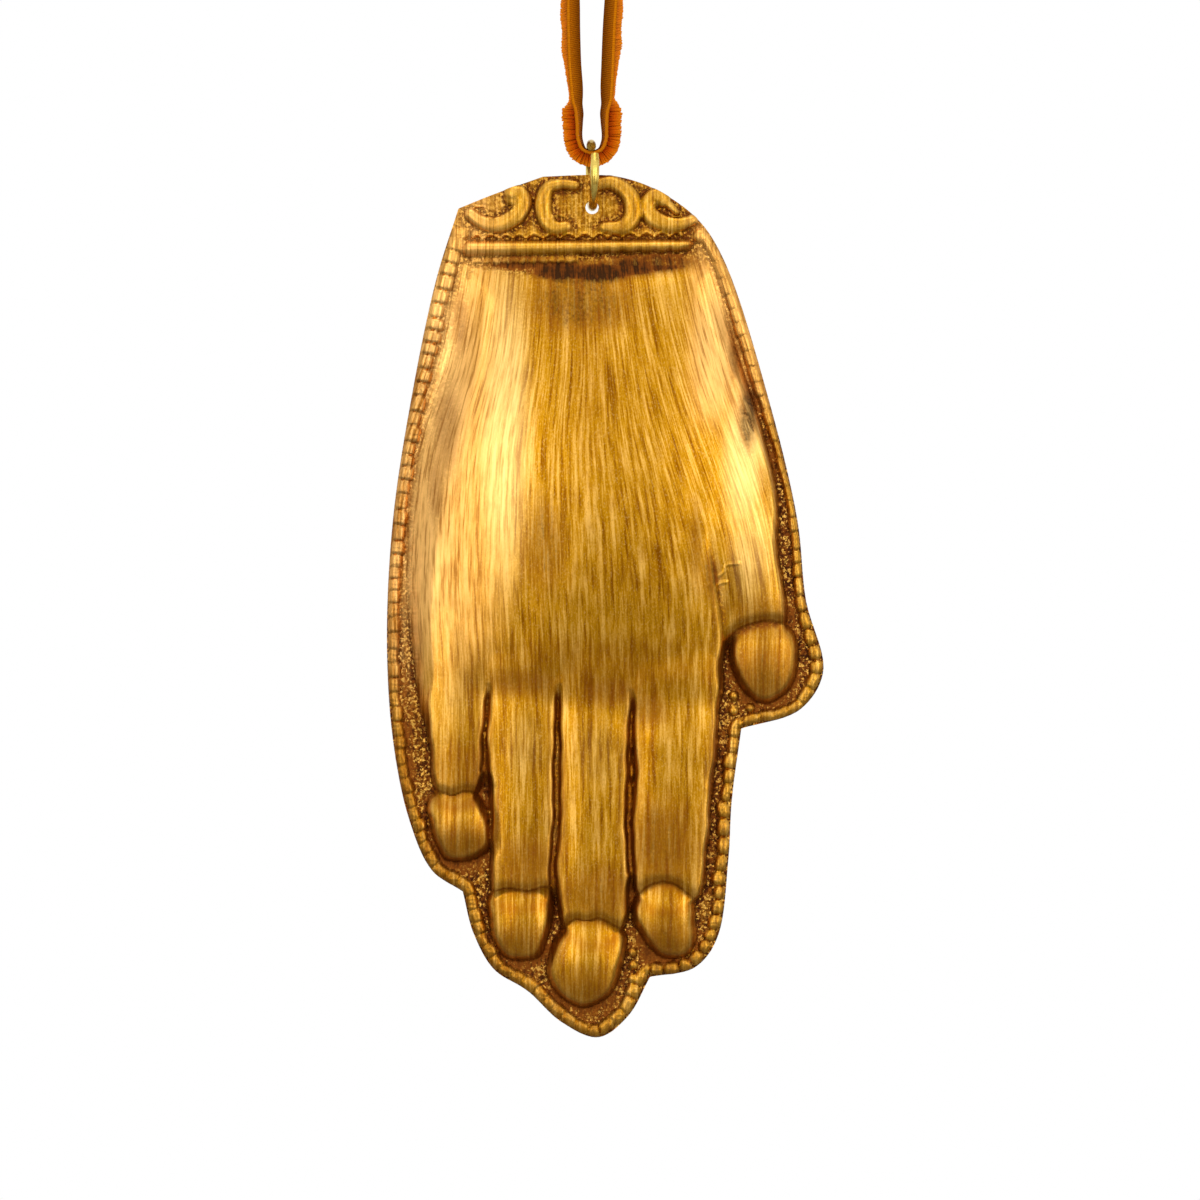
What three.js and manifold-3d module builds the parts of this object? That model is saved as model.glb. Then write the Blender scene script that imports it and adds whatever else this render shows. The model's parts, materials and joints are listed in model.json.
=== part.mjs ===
// Pressed tin hand ornament on a jump ring and a velvet ribbon loop.
// Millimetres, +Z up, the front of the hand faces -Y and +X is to the viewer's right.
// The origin is where a hook bears, inside the top of the ribbon loop.
import * as THREE from "three";
import { mergeVertices } from "three/addons/utils/BufferGeometryUtils.js";
import Module from "manifold-3d";

const wasm = await Module();
wasm.setup();

// Hand: one pressed and snipped sheet
const HAND_LENGTH = 127; // top edge of the cuff to the middle fingertip
const SHEET = 0.4; // thickness of the tin
const HAND_EDGE = 1.9; // step of the hand's edge above the ground of the sheet
const FINGER_SHOULDER = 1.2; // width over which that step rounds up at a finger
const PALM_CROWN = 4.2; // rise of the middle of the palm above its edge
const CROWN_ACROSS = 0.8; // form of that rise across the palm: 1 is a parabola, less is squarer
const CROWN_DOWN = [1.2, 0.8, 1.05]; // form down the palm at its top, middle and foot: 1 is a sine
const FINGER_CROWN = 1.1;
const FINGER_SPREAD = 4.4; // width over which the crown of a finger rounds up
const FINGER_ARCH = 0.45; // share of that crown lost towards both ends of a finger
const BLEND = 0.9; // height over which the palm and the fingers run into each other
const NAIL_HEIGHT = 3;
const NAIL_ROUND = 2.6; // form of a nail's dome: 2 is a parabola, more is flatter
const RIDGE_ROUND = 1.5; // form of the bar and the scrolls: 1 is a parabola, more is narrower
const GROOVE_DEPTH = 1.3; // chased lines round the thumb and the fingers
const GROOVE_WIDTH = 0.7; // from the middle of a line to one side
const THUMB_SLOPE = 3; // the thumb falls to its line over this width
const ROOT_DEPTH = 0.6; // soft valley between the palm and the roots of the fingers
const ROOT_WIDTH = 2; // from the middle of that valley to one side
const BORDER_HEIGHT = 0.7; // raised roll just inside the cut edge
const BORDER_WIDTH = 2;
const BAR_HEIGHT = 1.1; // bar across the cuff, above the palm
const BAR_WIDTH = 2.5;
const SCROLL_HEIGHT = 0.9;
const SCROLL_WIDTH = 2.2;
const FACET_ERROR = 0.17; // farthest that a facet may leave the pressed form

// Ring: round wire bent round, with its two cut ends a little apart
const RING_OUTSIDE = 10.5;
const WIRE = 1.3;
const RING_TURN = 3; // degrees that the ring is turned about Z from straight fore and aft
const SPLIT_ANGLE = 45; // degrees from the top of the ring forward to the split
const SPLIT_GAP = 2.1;
const SPLIT_OFFSET = 0.4; // sideways step between the two cut ends
const HOLE_CLEARANCE = 0.35; // round the wire, in the punched hole
const WIRE_LIFT = 0.12; // the wire bears in the upper half of the hole

// Ribbon: velvet, with its ribbed back inwards and its pile outwards
const RIBBON_WIDTH = 3.2;
const RIBBON_THICKNESS = 2.2; // woven back and pile together
const RIBBON_CLEARANCE = 0.3; // between the ribbon and the ring
const EDGE_GAP = 1.4; // from the ribbon's pile down to the edge of the sheet
const STRAND_TWIST = 38; // degrees that each strand turns its back to the front
const BIGHT_TWIST = 12; // degrees of that turn that are left where the ribbon bends round the ring
const KNOT_WIDTH = 6.4;
const KNOT_DEPTH = 5.2;
const KNOT_HEIGHT = 5.6;
const TURN_SLANT = 28; // degrees that the turn round the knot leans
const TURN_REACH = 2.9; // from the middle of the knot out to the middle of the turn, across
const TURN_THICKNESS = 1.4;
const KNOT_CLEARANCE = 0.3;
const TAIL_LENGTH = 9;
const TAIL_THICKNESS = 1.6;
const TAIL_TWIST = 29; // degrees

// Centreline of the ribbon from the knot, round the ring and back to the knot
const ROUTE = [
  [-1.3, 0, 0.5], [-2.2, 0, -2.2], [-3.2, 0, -5.6], [-3.7, 0, -9.5], [-3.7, 0, -14], [-3.4, 0, -19],
  [-3.15, 0, -24], [-3.1, 0, -28], [-2.95, 0, -33], [-2.65, 0, -37.5], [-2.75, 0, -41.5], [-2.65, 0, -44.6],
  [-1.8, 0, -46.44], [0, 0, -47.1], [1.8, 0, -46.44], [2.65, 0, -44.6], [2.65, 0, -41.5], [2.55, 0, -37.5],
  [2.7, 0, -33], [2.9, 0, -28], [3.15, 0, -24], [3.5, 0, -19], [3.75, 0, -14], [3.7, 0, -9.5],
  [3.2, 0, -5.6], [2.2, 0, -2.2], [1.3, 0, 0.5],
];
// Tail of the knot: across, to the back and up from the top of the knot, as shares of its length
const TAIL = [[0.09, 0, -0.3], [0.16, 0, 0], [0.33, -0.07, 0.55], [0.44, -0.04, 1]];

// Places that follow from those sizes
const BIGHT = Math.min(...ROUTE.map((p) => p[2])); // lowest point of the ribbon's centreline
const RING_RADIUS = (RING_OUTSIDE - WIRE) / 2;
const RING_Z = BIGHT + RIBBON_THICKNESS / 2 + RIBBON_CLEARANCE + WIRE / 2 - RING_RADIUS;
const HOLE_Z = RING_Z - RING_RADIUS - WIRE_LIFT;
const TOP_Z = BIGHT - RIBBON_THICKNESS / 2 - EDGE_GAP;

// The hand is drawn in hundredths of its length, across from the hole and down from its top edge.
// Each stretch of the outline is one smooth curve, and the stretches meet in corners.
const OUTLINE = [
  [[-15.5, -3.9], [-11.3, -2.2], [-5.7, -0.2]],
  [[-5.7, -0.2], [0, 0], [3, -0.2], [7.2, -1.6], [12.2, -5.1], [15.3, -9.9], [20.5, -26.1], [23.8, -40],
    [24.8, -49.3], [26.8, -57.6], [24.1, -62], [17.3, -64.2]],
  [[17.3, -64.2], [16.2, -72.5], [15.8, -79.4], [14.5, -88.5], [11.9, -91.9], [6.7, -93]],
  [[6.7, -93], [4.2, -97.5], [0.7, -100], [-3.6, -98.2], [-7.5, -94.6], [-11.4, -92.1], [-13.8, -87.8],
    [-15, -83.1]],
  [[-15, -83.1], [-18.6, -80.6], [-21.2, -74.8], [-23.1, -65.5], [-23.8, -53.9], [-23.1, -40], [-21, -26.1],
    [-18.1, -12.2], [-15.5, -3.9]],
];
// Edge of the palm, which runs on into the little finger and the thumb
const PALM = [
  [-14.2, -11.1], [-7.2, -11.2], [-0.2, -11.6], [6.7, -11], [13.9, -10.1], [15.5, -15.1], [18.1, -22.8],
  [20.7, -30.4], [22.2, -37.7], [22.5, -44.6], [22.9, -50.4], [22.1, -53.9], [19.2, -54.5], [16.5, -53.9],
  [15.3, -56.2], [14.9, -61.5], [11.4, -63.9], [5.6, -64.8], [0.9, -64.4], [-3.7, -63.4], [-7.8, -62.6],
  [-11.3, -62], [-12.2, -65], [-12.4, -68.4], [-13.7, -72.5], [-16.2, -73.4], [-18, -71.9], [-19, -66.1],
  [-20.2, -59.7], [-20.9, -52.8], [-21, -45.8], [-20.6, -38.8], [-19.7, -32.5], [-18.1, -26.7],
  [-16.2, -20.9], [-15, -15.7],
];
// Crowned parts: little, ring, middle and index fingers, then the thumb
const FINGERS = [
  [[-19, -58], [-17.5, -50], [-14, -52.5], [-12.2, -60.5], [-12.4, -68], [-13.7, -72.5], [-16.2, -73.4],
    [-18, -71.9], [-18.9, -66.5], [-19.2, -62]],
  [[-11.8, -55.5], [-7.8, -54], [-4.3, -55.5], [-4.2, -66.7], [-4.3, -74.8], [-4.6, -80.8], [-5.3, -84.1],
    [-8.4, -85], [-11.3, -84.1], [-11.9, -79.4], [-11.8, -73.6], [-12.2, -67.2]],
  [[-3.8, -56], [0.6, -54.5], [4.6, -56], [4.7, -67.8], [4.4, -74.8], [4.4, -81.2], [3.9, -87],
    [0.5, -89.3], [-3.2, -87.5], [-4.2, -82.9], [-4, -75.9], [-3.8, -69]],
  [[4.8, -56.5], [9.7, -55], [14.4, -56], [14.5, -66.1], [13.9, -72.5], [13.4, -78.3], [12.6, -83.5],
    [8.8, -85.4], [5.4, -84.1], [4.6, -79.4], [4.6, -73.6], [4.9, -67.8]],
  [[13.9, -44], [17.5, -38], [21.7, -41], [22.6, -47], [22.9, -51], [21, -54.5], [17.5, -54.5], [15.2, -51]],
];
const PALM_LEFT = [[-14.2, -9], [-16.2, -20.9], [-19.7, -32.5], [-21, -45.8], [-20.2, -59.7], [-19.4, -66]];
const PALM_RIGHT = [
  [13.9, -9], [18.1, -22.8], [22.2, -37.7], [22.5, -44.6], [20.5, -53], [16, -59.7], [15, -66],
];
const PALM_TOP = -10.8;
const PALM_FOOT = -64.5; // where the palm falls to the roots of the fingers
// Width of the step up to the palm, at places down its left and its right side: soft above, crisp below
const STEP_LEFT = [[5.5, -9], [5.1, -32.5], [3.5, -46], [2.4, -60], [1.2, -67]];
const STEP_RIGHT = [[5.5, -9], [2.6, -17], [1.2, -26], [1.2, -67]];
const STEP_SOFT = [1.2, 4.7]; // a step of the first width is crisp, and one of the second is quite soft
// That step has only a small share of its height at the top of the palm, and all of it further down
const STEP_TOP = -12;
const STEP_FULL = -36;
const STEP_LEAST = 0.1;
// Nails of the little, ring, middle and index fingers and the thumb, by centre, half width and half height
const NAILS = [
  [-15.4, -75.5, 3.8, 4.1],
  [-8.3, -86.9, 3.7, 4.3],
  [-0.5, -91.5, 4.4, 5],
  [8.5, -86.3, 3.8, 4.5],
  [20, -56.5, 4, 4.7],
];
const BAR = [[-14.4, -8.3], [11.4, -8]];
const SCROLLS = [
  [[-14.1, -4.6], [-13.1, -5.6], [-11.6, -6.1], [-10.3, -5.9], [-8.8, -5], [-8.2, -3.5], [-8.5, -2.4],
    [-9.4, -2.3]],
  [[-2, -1.2], [-3.5, -1.2], [-5.1, -1.4], [-5.9, -2.2], [-6, -3.5], [-5.7, -5.1], [-4.9, -6], [-3, -6.2]],
  [[1.2, -1.3], [2.3, -1.2], [3.4, -1.6], [4.4, -2.6], [4.7, -3.8], [4.4, -5.3], [3.4, -6.1], [1.4, -6.1]],
  [[7.8, -2.9], [7.1, -2.4], [6.4, -3.1], [6.3, -4.4], [6.9, -5.4], [8.2, -5.9], [9.5, -5.9], [11.6, -4.9]],
];
// Chased lines, downwards: palm to thumb, then between the fingers
const GROOVES = [
  [[13.2, -40.9], [14, -45.2], [14.7, -49.3], [15.3, -53.9], [15.5, -59.7]],
  [[-12, -59.2], [-12.3, -64.3], [-12.6, -68.8]],
  [[-3.7, -59.2], [-4, -63.4], [-4, -70.6], [-4.7, -82.3]],
  [[4.5, -59.9], [4.6, -62.4], [4.2, -70.8], [4.3, -80.6]],
];
// The thumb's line is shallow down to the first of these places and deep from the second
const THUMB_LINE = [-52, -57];
const THUMB_LEAST = 0.35; // share of its depth that it has above them
const GROOVE_FADE = 3; // the lines start over this length, and the thumb's over three times as much
const ROOTS = [[-12, -61], [-8, -61.2], [-4, -62.2], [0.5, -62.6], [4.6, -62.9], [9.7, -63], [14.6, -62.8]];
const BLANK_MARGIN = 3; // the sheet before it is snipped reaches this far above the hand and below it
const BLANK_MIDDLE = 1.5;
const CUFF_BOTTOM = -10; // the scrolls and the bar above this line are narrow and take the smallest facets
const BORDER_START = -6.6; // the roll begins on both sides a little above the bar
const COLOURS = { hand: 0xa8843c, ring: 0xb49a4c, ribbon: 0xb05a14 };

const unit = HAND_LENGTH / 100;
const clamp01 = (v) => Math.min(1, Math.max(0, v));
const smooth = (a, b, v) => THREE.MathUtils.smoothstep(v, a, b);
const rising = (a, b, v) => (a < b ? smooth(a, b, v) : 1 - smooth(b, a, v));

// Drawn points as a smooth line in millimetres, closed or open
function line(points, closed, steps) {
  const drawn = points.map(([x, z]) => new THREE.Vector3(x * unit, z * unit, 0));
  return new THREE.CatmullRomCurve3(drawn, closed, "centripetal").getPoints(steps);
}

// Distance from (x, z) to a chain of points
function distance(chain, x, z) {
  let best = Infinity;
  for (let i = 1; i < chain.length; i++) {
    const a = chain[i - 1];
    const dx = chain[i].x - a.x;
    const dz = chain[i].y - a.y;
    const share = clamp01(((x - a.x) * dx + (z - a.y) * dz) / (dx * dx + dz * dz || 1));
    best = Math.min(best, Math.hypot(x - a.x - share * dx, z - a.y - share * dz));
  }
  return best;
}

// Depth of (x, z) inside a closed chain, negative outside it
function depth(chain, x, z) {
  let inside = false;
  for (let i = 1; i < chain.length; i++) {
    const a = chain[i - 1];
    const b = chain[i];
    if (a.y > z !== b.y > z && x < a.x + ((z - a.y) / (b.y - a.y)) * (b.x - a.x)) inside = !inside;
  }
  return distance(chain, x, z) * (inside ? 1 : -1);
}

const outline = OUTLINE.flatMap((stretch) => line(stretch, false, 8 * stretch.length).slice(0, -1));
outline.push(outline[0]);
const palm = line(PALM, true, 110);
const fingers = FINGERS.map((points) => line(points, true, 40));
const bar = line(BAR, false, 1);
const scrolls = SCROLLS.map((points) => line(points, false, 28));
const palmLeft = line(PALM_LEFT, false, 30);
const palmRight = line(PALM_RIGHT, false, 30);
const grooves = GROOVES.map((points) => line(points, false, 16));
const roots = line(ROOTS, false, 24);
const stepLeft = line(STEP_LEFT, false, 20);
const stepRight = line(STEP_RIGHT, false, 20);

// A pad that rounds up from its edge over the width of its shoulder
const pad = (inside, shoulder) => 1 - (1 - clamp01(inside / shoulder)) ** 2;
// A ridge with a round back, by distance from its middle line
const ridge = (away, width) => (1 - clamp01(Math.abs(2 * away) / width) ** 2) ** RIDGE_ROUND;

// Across of a chain that runs down, at height z
function acrossAt(chain, z) {
  const next = chain.findIndex((p) => p.y <= z);
  if (next < 1) return chain[next ? chain.length - 1 : 0].x;
  const a = chain[next - 1];
  const b = chain[next];
  return a.x + ((z - a.y) / (b.y - a.y)) * (b.x - a.x);
}

// Larger of two heights, with the crease between them rounded
const blend = (a, b) => Math.max(a, b) + (Math.max(0, BLEND - Math.abs(a - b)) ** 2) / (4 * BLEND);

// Share of the way across the palm, from its left side to its right
function palmShare(x, z) {
  const left = acrossAt(palmLeft, z);
  return clamp01((x - left) / (acrossAt(palmRight, z) - left));
}

// Arched across the palm and down it
function palmCrown(x, z) {
  const share = palmShare(x, z);
  const down = clamp01((z / unit - PALM_TOP) / (PALM_FOOT - PALM_TOP));
  const [top, middle, foot] = CROWN_DOWN;
  const form = top + (middle - top) * smooth(0, 0.35, down) + (foot - middle) * smooth(0.5, 0.9, down);
  return PALM_CROWN * (4 * share * (1 - share)) ** CROWN_ACROSS * Math.sin(Math.PI * down) ** form;
}

// The palm's edge: a wide step starts outside its line and has no crease at its foot
function palmEdge(x, z) {
  const width = THREE.MathUtils.lerp(acrossAt(stepLeft, z), acrossAt(stepRight, z), palmShare(x, z));
  const soft = smooth(STEP_SOFT[0] * unit, STEP_SOFT[1] * unit, width);
  const inside = depth(palm, x, z) + (soft * width) / 4;
  return THREE.MathUtils.lerp(pad(inside, width), smooth(0, width, inside), soft);
}

function fingerCrown(finger, x, z) {
  const heights = finger.map((p) => p.y);
  const foot = Math.min(...heights);
  const root = Math.max(...heights);
  const along = (2 * z - root - foot) / (root - foot);
  return FINGER_CROWN * (1 - FINGER_ARCH * Math.min(1, along ** 2)) * pad(depth(finger, x, z), FINGER_SPREAD);
}

// The hand steps up at its edge and is crowned inside it
function handRelief(x, z) {
  const sides = fingers.slice(0, -1).map((finger) => pad(depth(finger, x, z), FINGER_SHOULDER));
  const edge = Math.max(palmEdge(x, z), ...sides);
  if (!edge) return 0;
  const crown = fingers.reduce((height, finger) => blend(height, fingerCrown(finger, x, z)), palmCrown(x, z));
  const chased = grooves.map((groove, i) => {
    const thumb = i === 0;
    const width = thumb && x > acrossAt(groove, z) ? THUMB_SLOPE : GROOVE_WIDTH;
    const fade = GROOVE_FADE * unit * (thumb ? 3 : 1);
    const started = rising(groove[0].y, groove[0].y - fade, z);
    const low = rising(THUMB_LINE[0] * unit, THUMB_LINE[1] * unit, z);
    const deep = thumb ? THREE.MathUtils.lerp(THUMB_LEAST, 1, low) : 1;
    return started * deep * Math.exp(-((distance(groove, x, z) / width) ** 2));
  });
  const valley = ROOT_DEPTH * Math.exp(-((distance(roots, x, z) / ROOT_WIDTH) ** 2));
  const step = HAND_EDGE * THREE.MathUtils.lerp(STEP_LEAST, 1, rising(STEP_TOP * unit, STEP_FULL * unit, z));
  return edge * Math.max(0, step + crown - valley - GROOVE_DEPTH * Math.max(...chased));
}

function nailRelief([cx, cz, halfWidth, halfHeight], x, z) {
  const away = Math.hypot((x - cx * unit) / (halfWidth * unit), (z - cz * unit) / (halfHeight * unit));
  return NAIL_HEIGHT * (1 - clamp01(away) ** NAIL_ROUND);
}

// Height of the pressed form above the ground of the sheet
function relief(x, z) {
  const inside = depth(outline, x, z);
  const started = rising((BORDER_START + 1) * unit, (BORDER_START - 1) * unit, z);
  return Math.max(
    BORDER_HEIGHT * started * rising(BORDER_WIDTH, BORDER_WIDTH / 2, inside),
    BAR_HEIGHT * ridge(distance(bar, x, z), BAR_WIDTH),
    ...scrolls.map((scroll) => SCROLL_HEIGHT * ridge(distance(scroll, x, z), SCROLL_WIDTH)),
    handRelief(x, z),
    ...NAILS.map((nail) => nailRelief(nail, x, z)),
  );
}

// Closed geometry as a solid that can be joined and cut
function solidOf(geometry) {
  const bare = (geometry.index ? geometry.toNonIndexed() : geometry).clone();
  bare.deleteAttribute("normal");
  bare.deleteAttribute("uv");
  const merged = mergeVertices(bare, 1e-4);
  return new wasm.Manifold(new wasm.Mesh({
    numProp: 3,
    vertProperties: merged.attributes.position.array,
    triVerts: new Uint32Array(merged.index.array),
  }));
}

function geometryOf(solid) {
  const made = solid.getMesh();
  const geometry = new THREE.BufferGeometry();
  geometry.setAttribute("position", new THREE.BufferAttribute(made.vertProperties, 3));
  geometry.setIndex(new THREE.BufferAttribute(made.triVerts, 1));
  return geometry;
}

// Square blank with the relief pressed in, split into right triangles only where the form needs them
function pressedBlank() {
  const cells = 256;
  const side = cells + 1;
  const span = HAND_LENGTH + 2 * BLANK_MARGIN * unit;
  const step = span / cells;
  const left = BLANK_MIDDLE * unit - span / 2;
  const top = BLANK_MARGIN * unit;
  const height = new Float32Array(side * side);
  const error = new Float32Array(side * side);
  for (let row = 0; row < side; row++) {
    for (let column = 0; column < side; column++) {
      height[row * side + column] = relief(left + column * step, top - row * step);
    }
  }
  // A triangle has its long edge from a to b and its right angle at c, and halves at the middle of that edge
  const halves = ([a, b, c]) => {
    const middle = [(a[0] + b[0]) / 2, (a[1] + b[1]) / 2];
    return [[c, a, middle], [b, c, middle]];
  };
  const legs = ([a, , c]) => Math.abs(a[0] - c[0]) + Math.abs(a[1] - c[1]);
  const at = ([column, row]) => row * side + column;
  const far = [[0, 0], [cells, 0], [cells, cells], [0, cells]];
  const triangles = [[far[0], far[2], far[1]], [far[2], far[0], far[3]]];
  for (const triangle of triangles) {
    if (legs(triangle) > 1) triangles.push(...halves(triangle));
  }
  // Small ones first, so that an edge that must be split is split in all the larger triangles round it
  for (const triangle of triangles.toReversed()) {
    if (legs(triangle) < 2) continue;
    const [a, b, c] = triangle;
    const middle = halves(triangle)[0][2];
    const narrow = top - middle[1] * step > CUFF_BOTTOM * unit;
    const away = Math.abs((height[at(a)] + height[at(b)]) / 2 - height[at(middle)]);
    if (narrow || legs(triangle) > 3) error[at(middle)] = Math.max(error[at(middle)], away);
    error[at(c)] = Math.max(error[at(c)], error[at(middle)]);
  }
  const kept = [];
  const open = triangles.slice(0, 2);
  while (open.length) {
    const triangle = open.pop();
    const [one, two] = halves(triangle);
    if (legs(triangle) > 1 && error[at(one[2])] > FACET_ERROR) open.push(one, two);
    else kept.push(triangle);
  }
  // Front and back keep one thickness fore and aft, so the tin thins where it is steep and stretched
  const place = (p, offset) => [left + p[0] * step, offset - height[at(p)], top - p[1] * step];
  const points = [];
  const rim = new Map();
  for (const triangle of kept) {
    const [a, b, c] = triangle;
    points.push(...place(a, -SHEET / 2), ...place(b, -SHEET / 2), ...place(c, -SHEET / 2));
    points.push(...place(a, SHEET / 2), ...place(c, SHEET / 2), ...place(b, SHEET / 2));
    triangle.forEach((p, i) => rim.set(String([p, triangle[(i + 1) % 3]]), [p, triangle[(i + 1) % 3]]));
  }
  // An edge that no neighbour walks the other way lies on the rim of the blank and gets a wall
  for (const [p, q] of rim.values()) {
    if (rim.has(String([q, p]))) continue;
    points.push(...place(q, -SHEET / 2), ...place(p, -SHEET / 2), ...place(p, SHEET / 2));
    points.push(...place(q, -SHEET / 2), ...place(p, SHEET / 2), ...place(q, SHEET / 2));
  }
  return new THREE.BufferGeometry().setAttribute("position", new THREE.Float32BufferAttribute(points, 3));
}

function handPlate() {
  const reach = 4 * (HAND_EDGE + PALM_CROWN);
  const shape = new THREE.Shape(outline.slice(0, -1).map((p) => new THREE.Vector2(p.x, p.y)));
  const snips = new THREE.ExtrudeGeometry(shape, { depth: 2 * reach, bevelEnabled: false });
  snips.rotateX(Math.PI / 2).translate(0, reach, 0);
  const holeRadius = WIRE / 2 + HOLE_CLEARANCE;
  const hole = new THREE.CylinderGeometry(holeRadius, holeRadius, 2 * reach, 24);
  hole.translate(0, 0, HOLE_Z - TOP_Z);
  const sheet = solidOf(pressedBlank()).intersect(solidOf(snips)).subtract(solidOf(hole));
  return geometryOf(sheet).translate(0, 0, TOP_Z);
}

// Round wire bent into a ring that opens a little at its split
class RingPath extends THREE.Curve {
  getPoint(t) {
    const gap = SPLIT_GAP / RING_RADIUS;
    const angle = THREE.MathUtils.degToRad(SPLIT_ANGLE) + gap / 2 + t * (2 * Math.PI - gap);
    const across = SPLIT_OFFSET * (0.5 - t);
    return new THREE.Vector3(across, -RING_RADIUS * Math.sin(angle), RING_RADIUS * Math.cos(angle));
  }
}

function jumpRing() {
  const section = new THREE.Shape();
  section.absarc(0, 0, WIRE / 2, 0, 2 * Math.PI);
  const wire = new THREE.ExtrudeGeometry(section, {
    steps: 40,
    curveSegments: 6,
    bevelEnabled: false,
    extrudePath: new RingPath(),
  });
  return wire.rotateZ(THREE.MathUtils.degToRad(RING_TURN)).translate(0, 0, RING_Z);
}

// Closed band with an eight-sided oval section, its broad side turned about its path by turn(share)
function band(path, steps, width, thickness, turn) {
  const sides = 8;
  const rings = [];
  for (let i = 0; i <= steps; i++) {
    const share = i / steps;
    const centre = path.getPointAt(share);
    const along = path.getTangentAt(share);
    const broad = new THREE.Vector3(0, 1, 0).applyAxisAngle(along, turn(share));
    const thin = new THREE.Vector3().crossVectors(along, broad);
    rings.push(Array.from({ length: sides }, (_, k) => {
      const angle = (2 * Math.PI * k) / sides;
      return centre.clone()
        .addScaledVector(broad, (width / 2) * Math.cos(angle))
        .addScaledVector(thin, (thickness / 2) * Math.sin(angle));
    }));
  }
  const points = [];
  const face = (...corners) => corners.forEach((p) => points.push(p.x, p.y, p.z));
  for (let i = 0; i < steps; i++) {
    for (let k = 0; k < sides; k++) {
      const next = (k + 1) % sides;
      face(rings[i][k], rings[i][next], rings[i + 1][next]);
      face(rings[i][k], rings[i + 1][next], rings[i + 1][k]);
    }
  }
  for (let k = 1; k < sides - 1; k++) {
    face(rings[0][0], rings[0][k + 1], rings[0][k]);
    face(rings[steps][0], rings[steps][k], rings[steps][k + 1]);
  }
  return new THREE.BufferGeometry().setAttribute("position", new THREE.Float32BufferAttribute(points, 3));
}

// The strands lie nearly edge on at the ring and at the knot, and turn their backs forward between them
function ribbonLoop() {
  const path = new THREE.CatmullRomCurve3(ROUTE.map((p) => new THREE.Vector3(...p)), false, "centripetal");
  const turn = (share) => {
    const half = Math.abs(share - 0.5) * 2;
    const degrees = THREE.MathUtils.lerp(BIGHT_TWIST, STRAND_TWIST, smooth(0.1, 0.26, half));
    return THREE.MathUtils.degToRad(degrees) * rising(0.97, 0.75, half);
  };
  return band(path, 60, RIBBON_WIDTH, RIBBON_THICKNESS, turn);
}

// Overhand knot: a round body, one turn of ribbon drawn over it on the slant, and two cut tails
function ribbonKnot() {
  const bottom = ROUTE[0][2] + KNOT_CLEARANCE;
  const middle = bottom + KNOT_HEIGHT / 2;
  const top = bottom + KNOT_HEIGHT;
  const body = new THREE.SphereGeometry(1, 16, 10);
  body.scale(KNOT_WIDTH / 2, KNOT_DEPTH / 2, KNOT_HEIGHT / 2).translate(0, 0, middle);
  const turn = new THREE.TorusGeometry(TURN_REACH, TURN_THICKNESS / 2, 6, 20);
  turn.scale(1, KNOT_DEPTH / KNOT_WIDTH, 1);
  turn.rotateY(THREE.MathUtils.degToRad(TURN_SLANT)).translate(0, 0, middle);
  const tails = [-1, 1].map((side) => {
    const drawn = TAIL.map(([x, y, z]) => new THREE.Vector3(side * x, y, z).multiplyScalar(TAIL_LENGTH));
    const path = new THREE.CatmullRomCurve3(drawn.map((p) => p.setZ(p.z + top)));
    return band(path, 8, RIBBON_WIDTH, TAIL_THICKNESS, () => side * THREE.MathUtils.degToRad(TAIL_TWIST));
  });
  return geometryOf([turn, ...tails].reduce((knot, piece) => knot.add(solidOf(piece)), solidOf(body)));
}

const metal = (color, roughness) => new THREE.MeshStandardMaterial({ color, roughness, metalness: 1 });
const cloth = () => new THREE.MeshStandardMaterial({ color: COLOURS.ribbon, roughness: 0.9, metalness: 0 });
const part = new THREE.Group();
part.name = "milagro_ornament";
for (const [name, geometry, material] of [
  ["hand_plate", handPlate(), metal(COLOURS.hand, 0.4)],
  ["jump_ring", jumpRing(), metal(COLOURS.ring, 0.3)],
  ["ribbon_loop", ribbonLoop(), cloth()],
  ["ribbon_knot", ribbonKnot(), cloth()],
]) {
  geometry.deleteAttribute("normal");
  const mesh = new THREE.Mesh(geometry, material);
  mesh.name = name;
  geometry.computeVertexNormals();
  part.add(mesh);
}

export default part;
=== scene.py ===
# %% [markdown]
# # A pressed tin hand on a velvet ribbon
# The real object is a small wall charm: one thin sheet of tin with an open hand pressed into it, a ring of
# brass wire through a hole in its cuff, and a loop of narrow velvet ribbon that ends in a knot.
# The solid parts come in from the CAD frame, in metres, with the hook at the origin. Each of them gets a
# finer piece here that stands in the same place and moves with the same body.

import json
import math

import bmesh
import bpy
import numpy as np
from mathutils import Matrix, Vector


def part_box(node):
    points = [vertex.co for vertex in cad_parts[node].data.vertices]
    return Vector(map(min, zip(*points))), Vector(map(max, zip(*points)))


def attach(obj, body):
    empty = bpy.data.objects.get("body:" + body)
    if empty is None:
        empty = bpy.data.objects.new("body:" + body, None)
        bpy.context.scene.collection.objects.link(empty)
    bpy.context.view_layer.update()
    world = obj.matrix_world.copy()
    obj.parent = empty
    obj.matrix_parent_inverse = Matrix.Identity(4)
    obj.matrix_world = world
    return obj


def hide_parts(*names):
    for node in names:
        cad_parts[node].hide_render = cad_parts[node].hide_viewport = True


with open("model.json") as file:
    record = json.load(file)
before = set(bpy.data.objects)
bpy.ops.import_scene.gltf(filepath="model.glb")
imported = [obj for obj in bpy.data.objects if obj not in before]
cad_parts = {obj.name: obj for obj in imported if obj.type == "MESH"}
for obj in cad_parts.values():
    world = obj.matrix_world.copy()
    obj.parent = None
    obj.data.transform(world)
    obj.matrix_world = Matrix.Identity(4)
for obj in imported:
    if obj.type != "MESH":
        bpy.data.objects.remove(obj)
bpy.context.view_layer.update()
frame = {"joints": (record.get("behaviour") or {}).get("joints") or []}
MM = 0.001  # drawn sizes below are in millimetres, Blender works in metres

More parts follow.
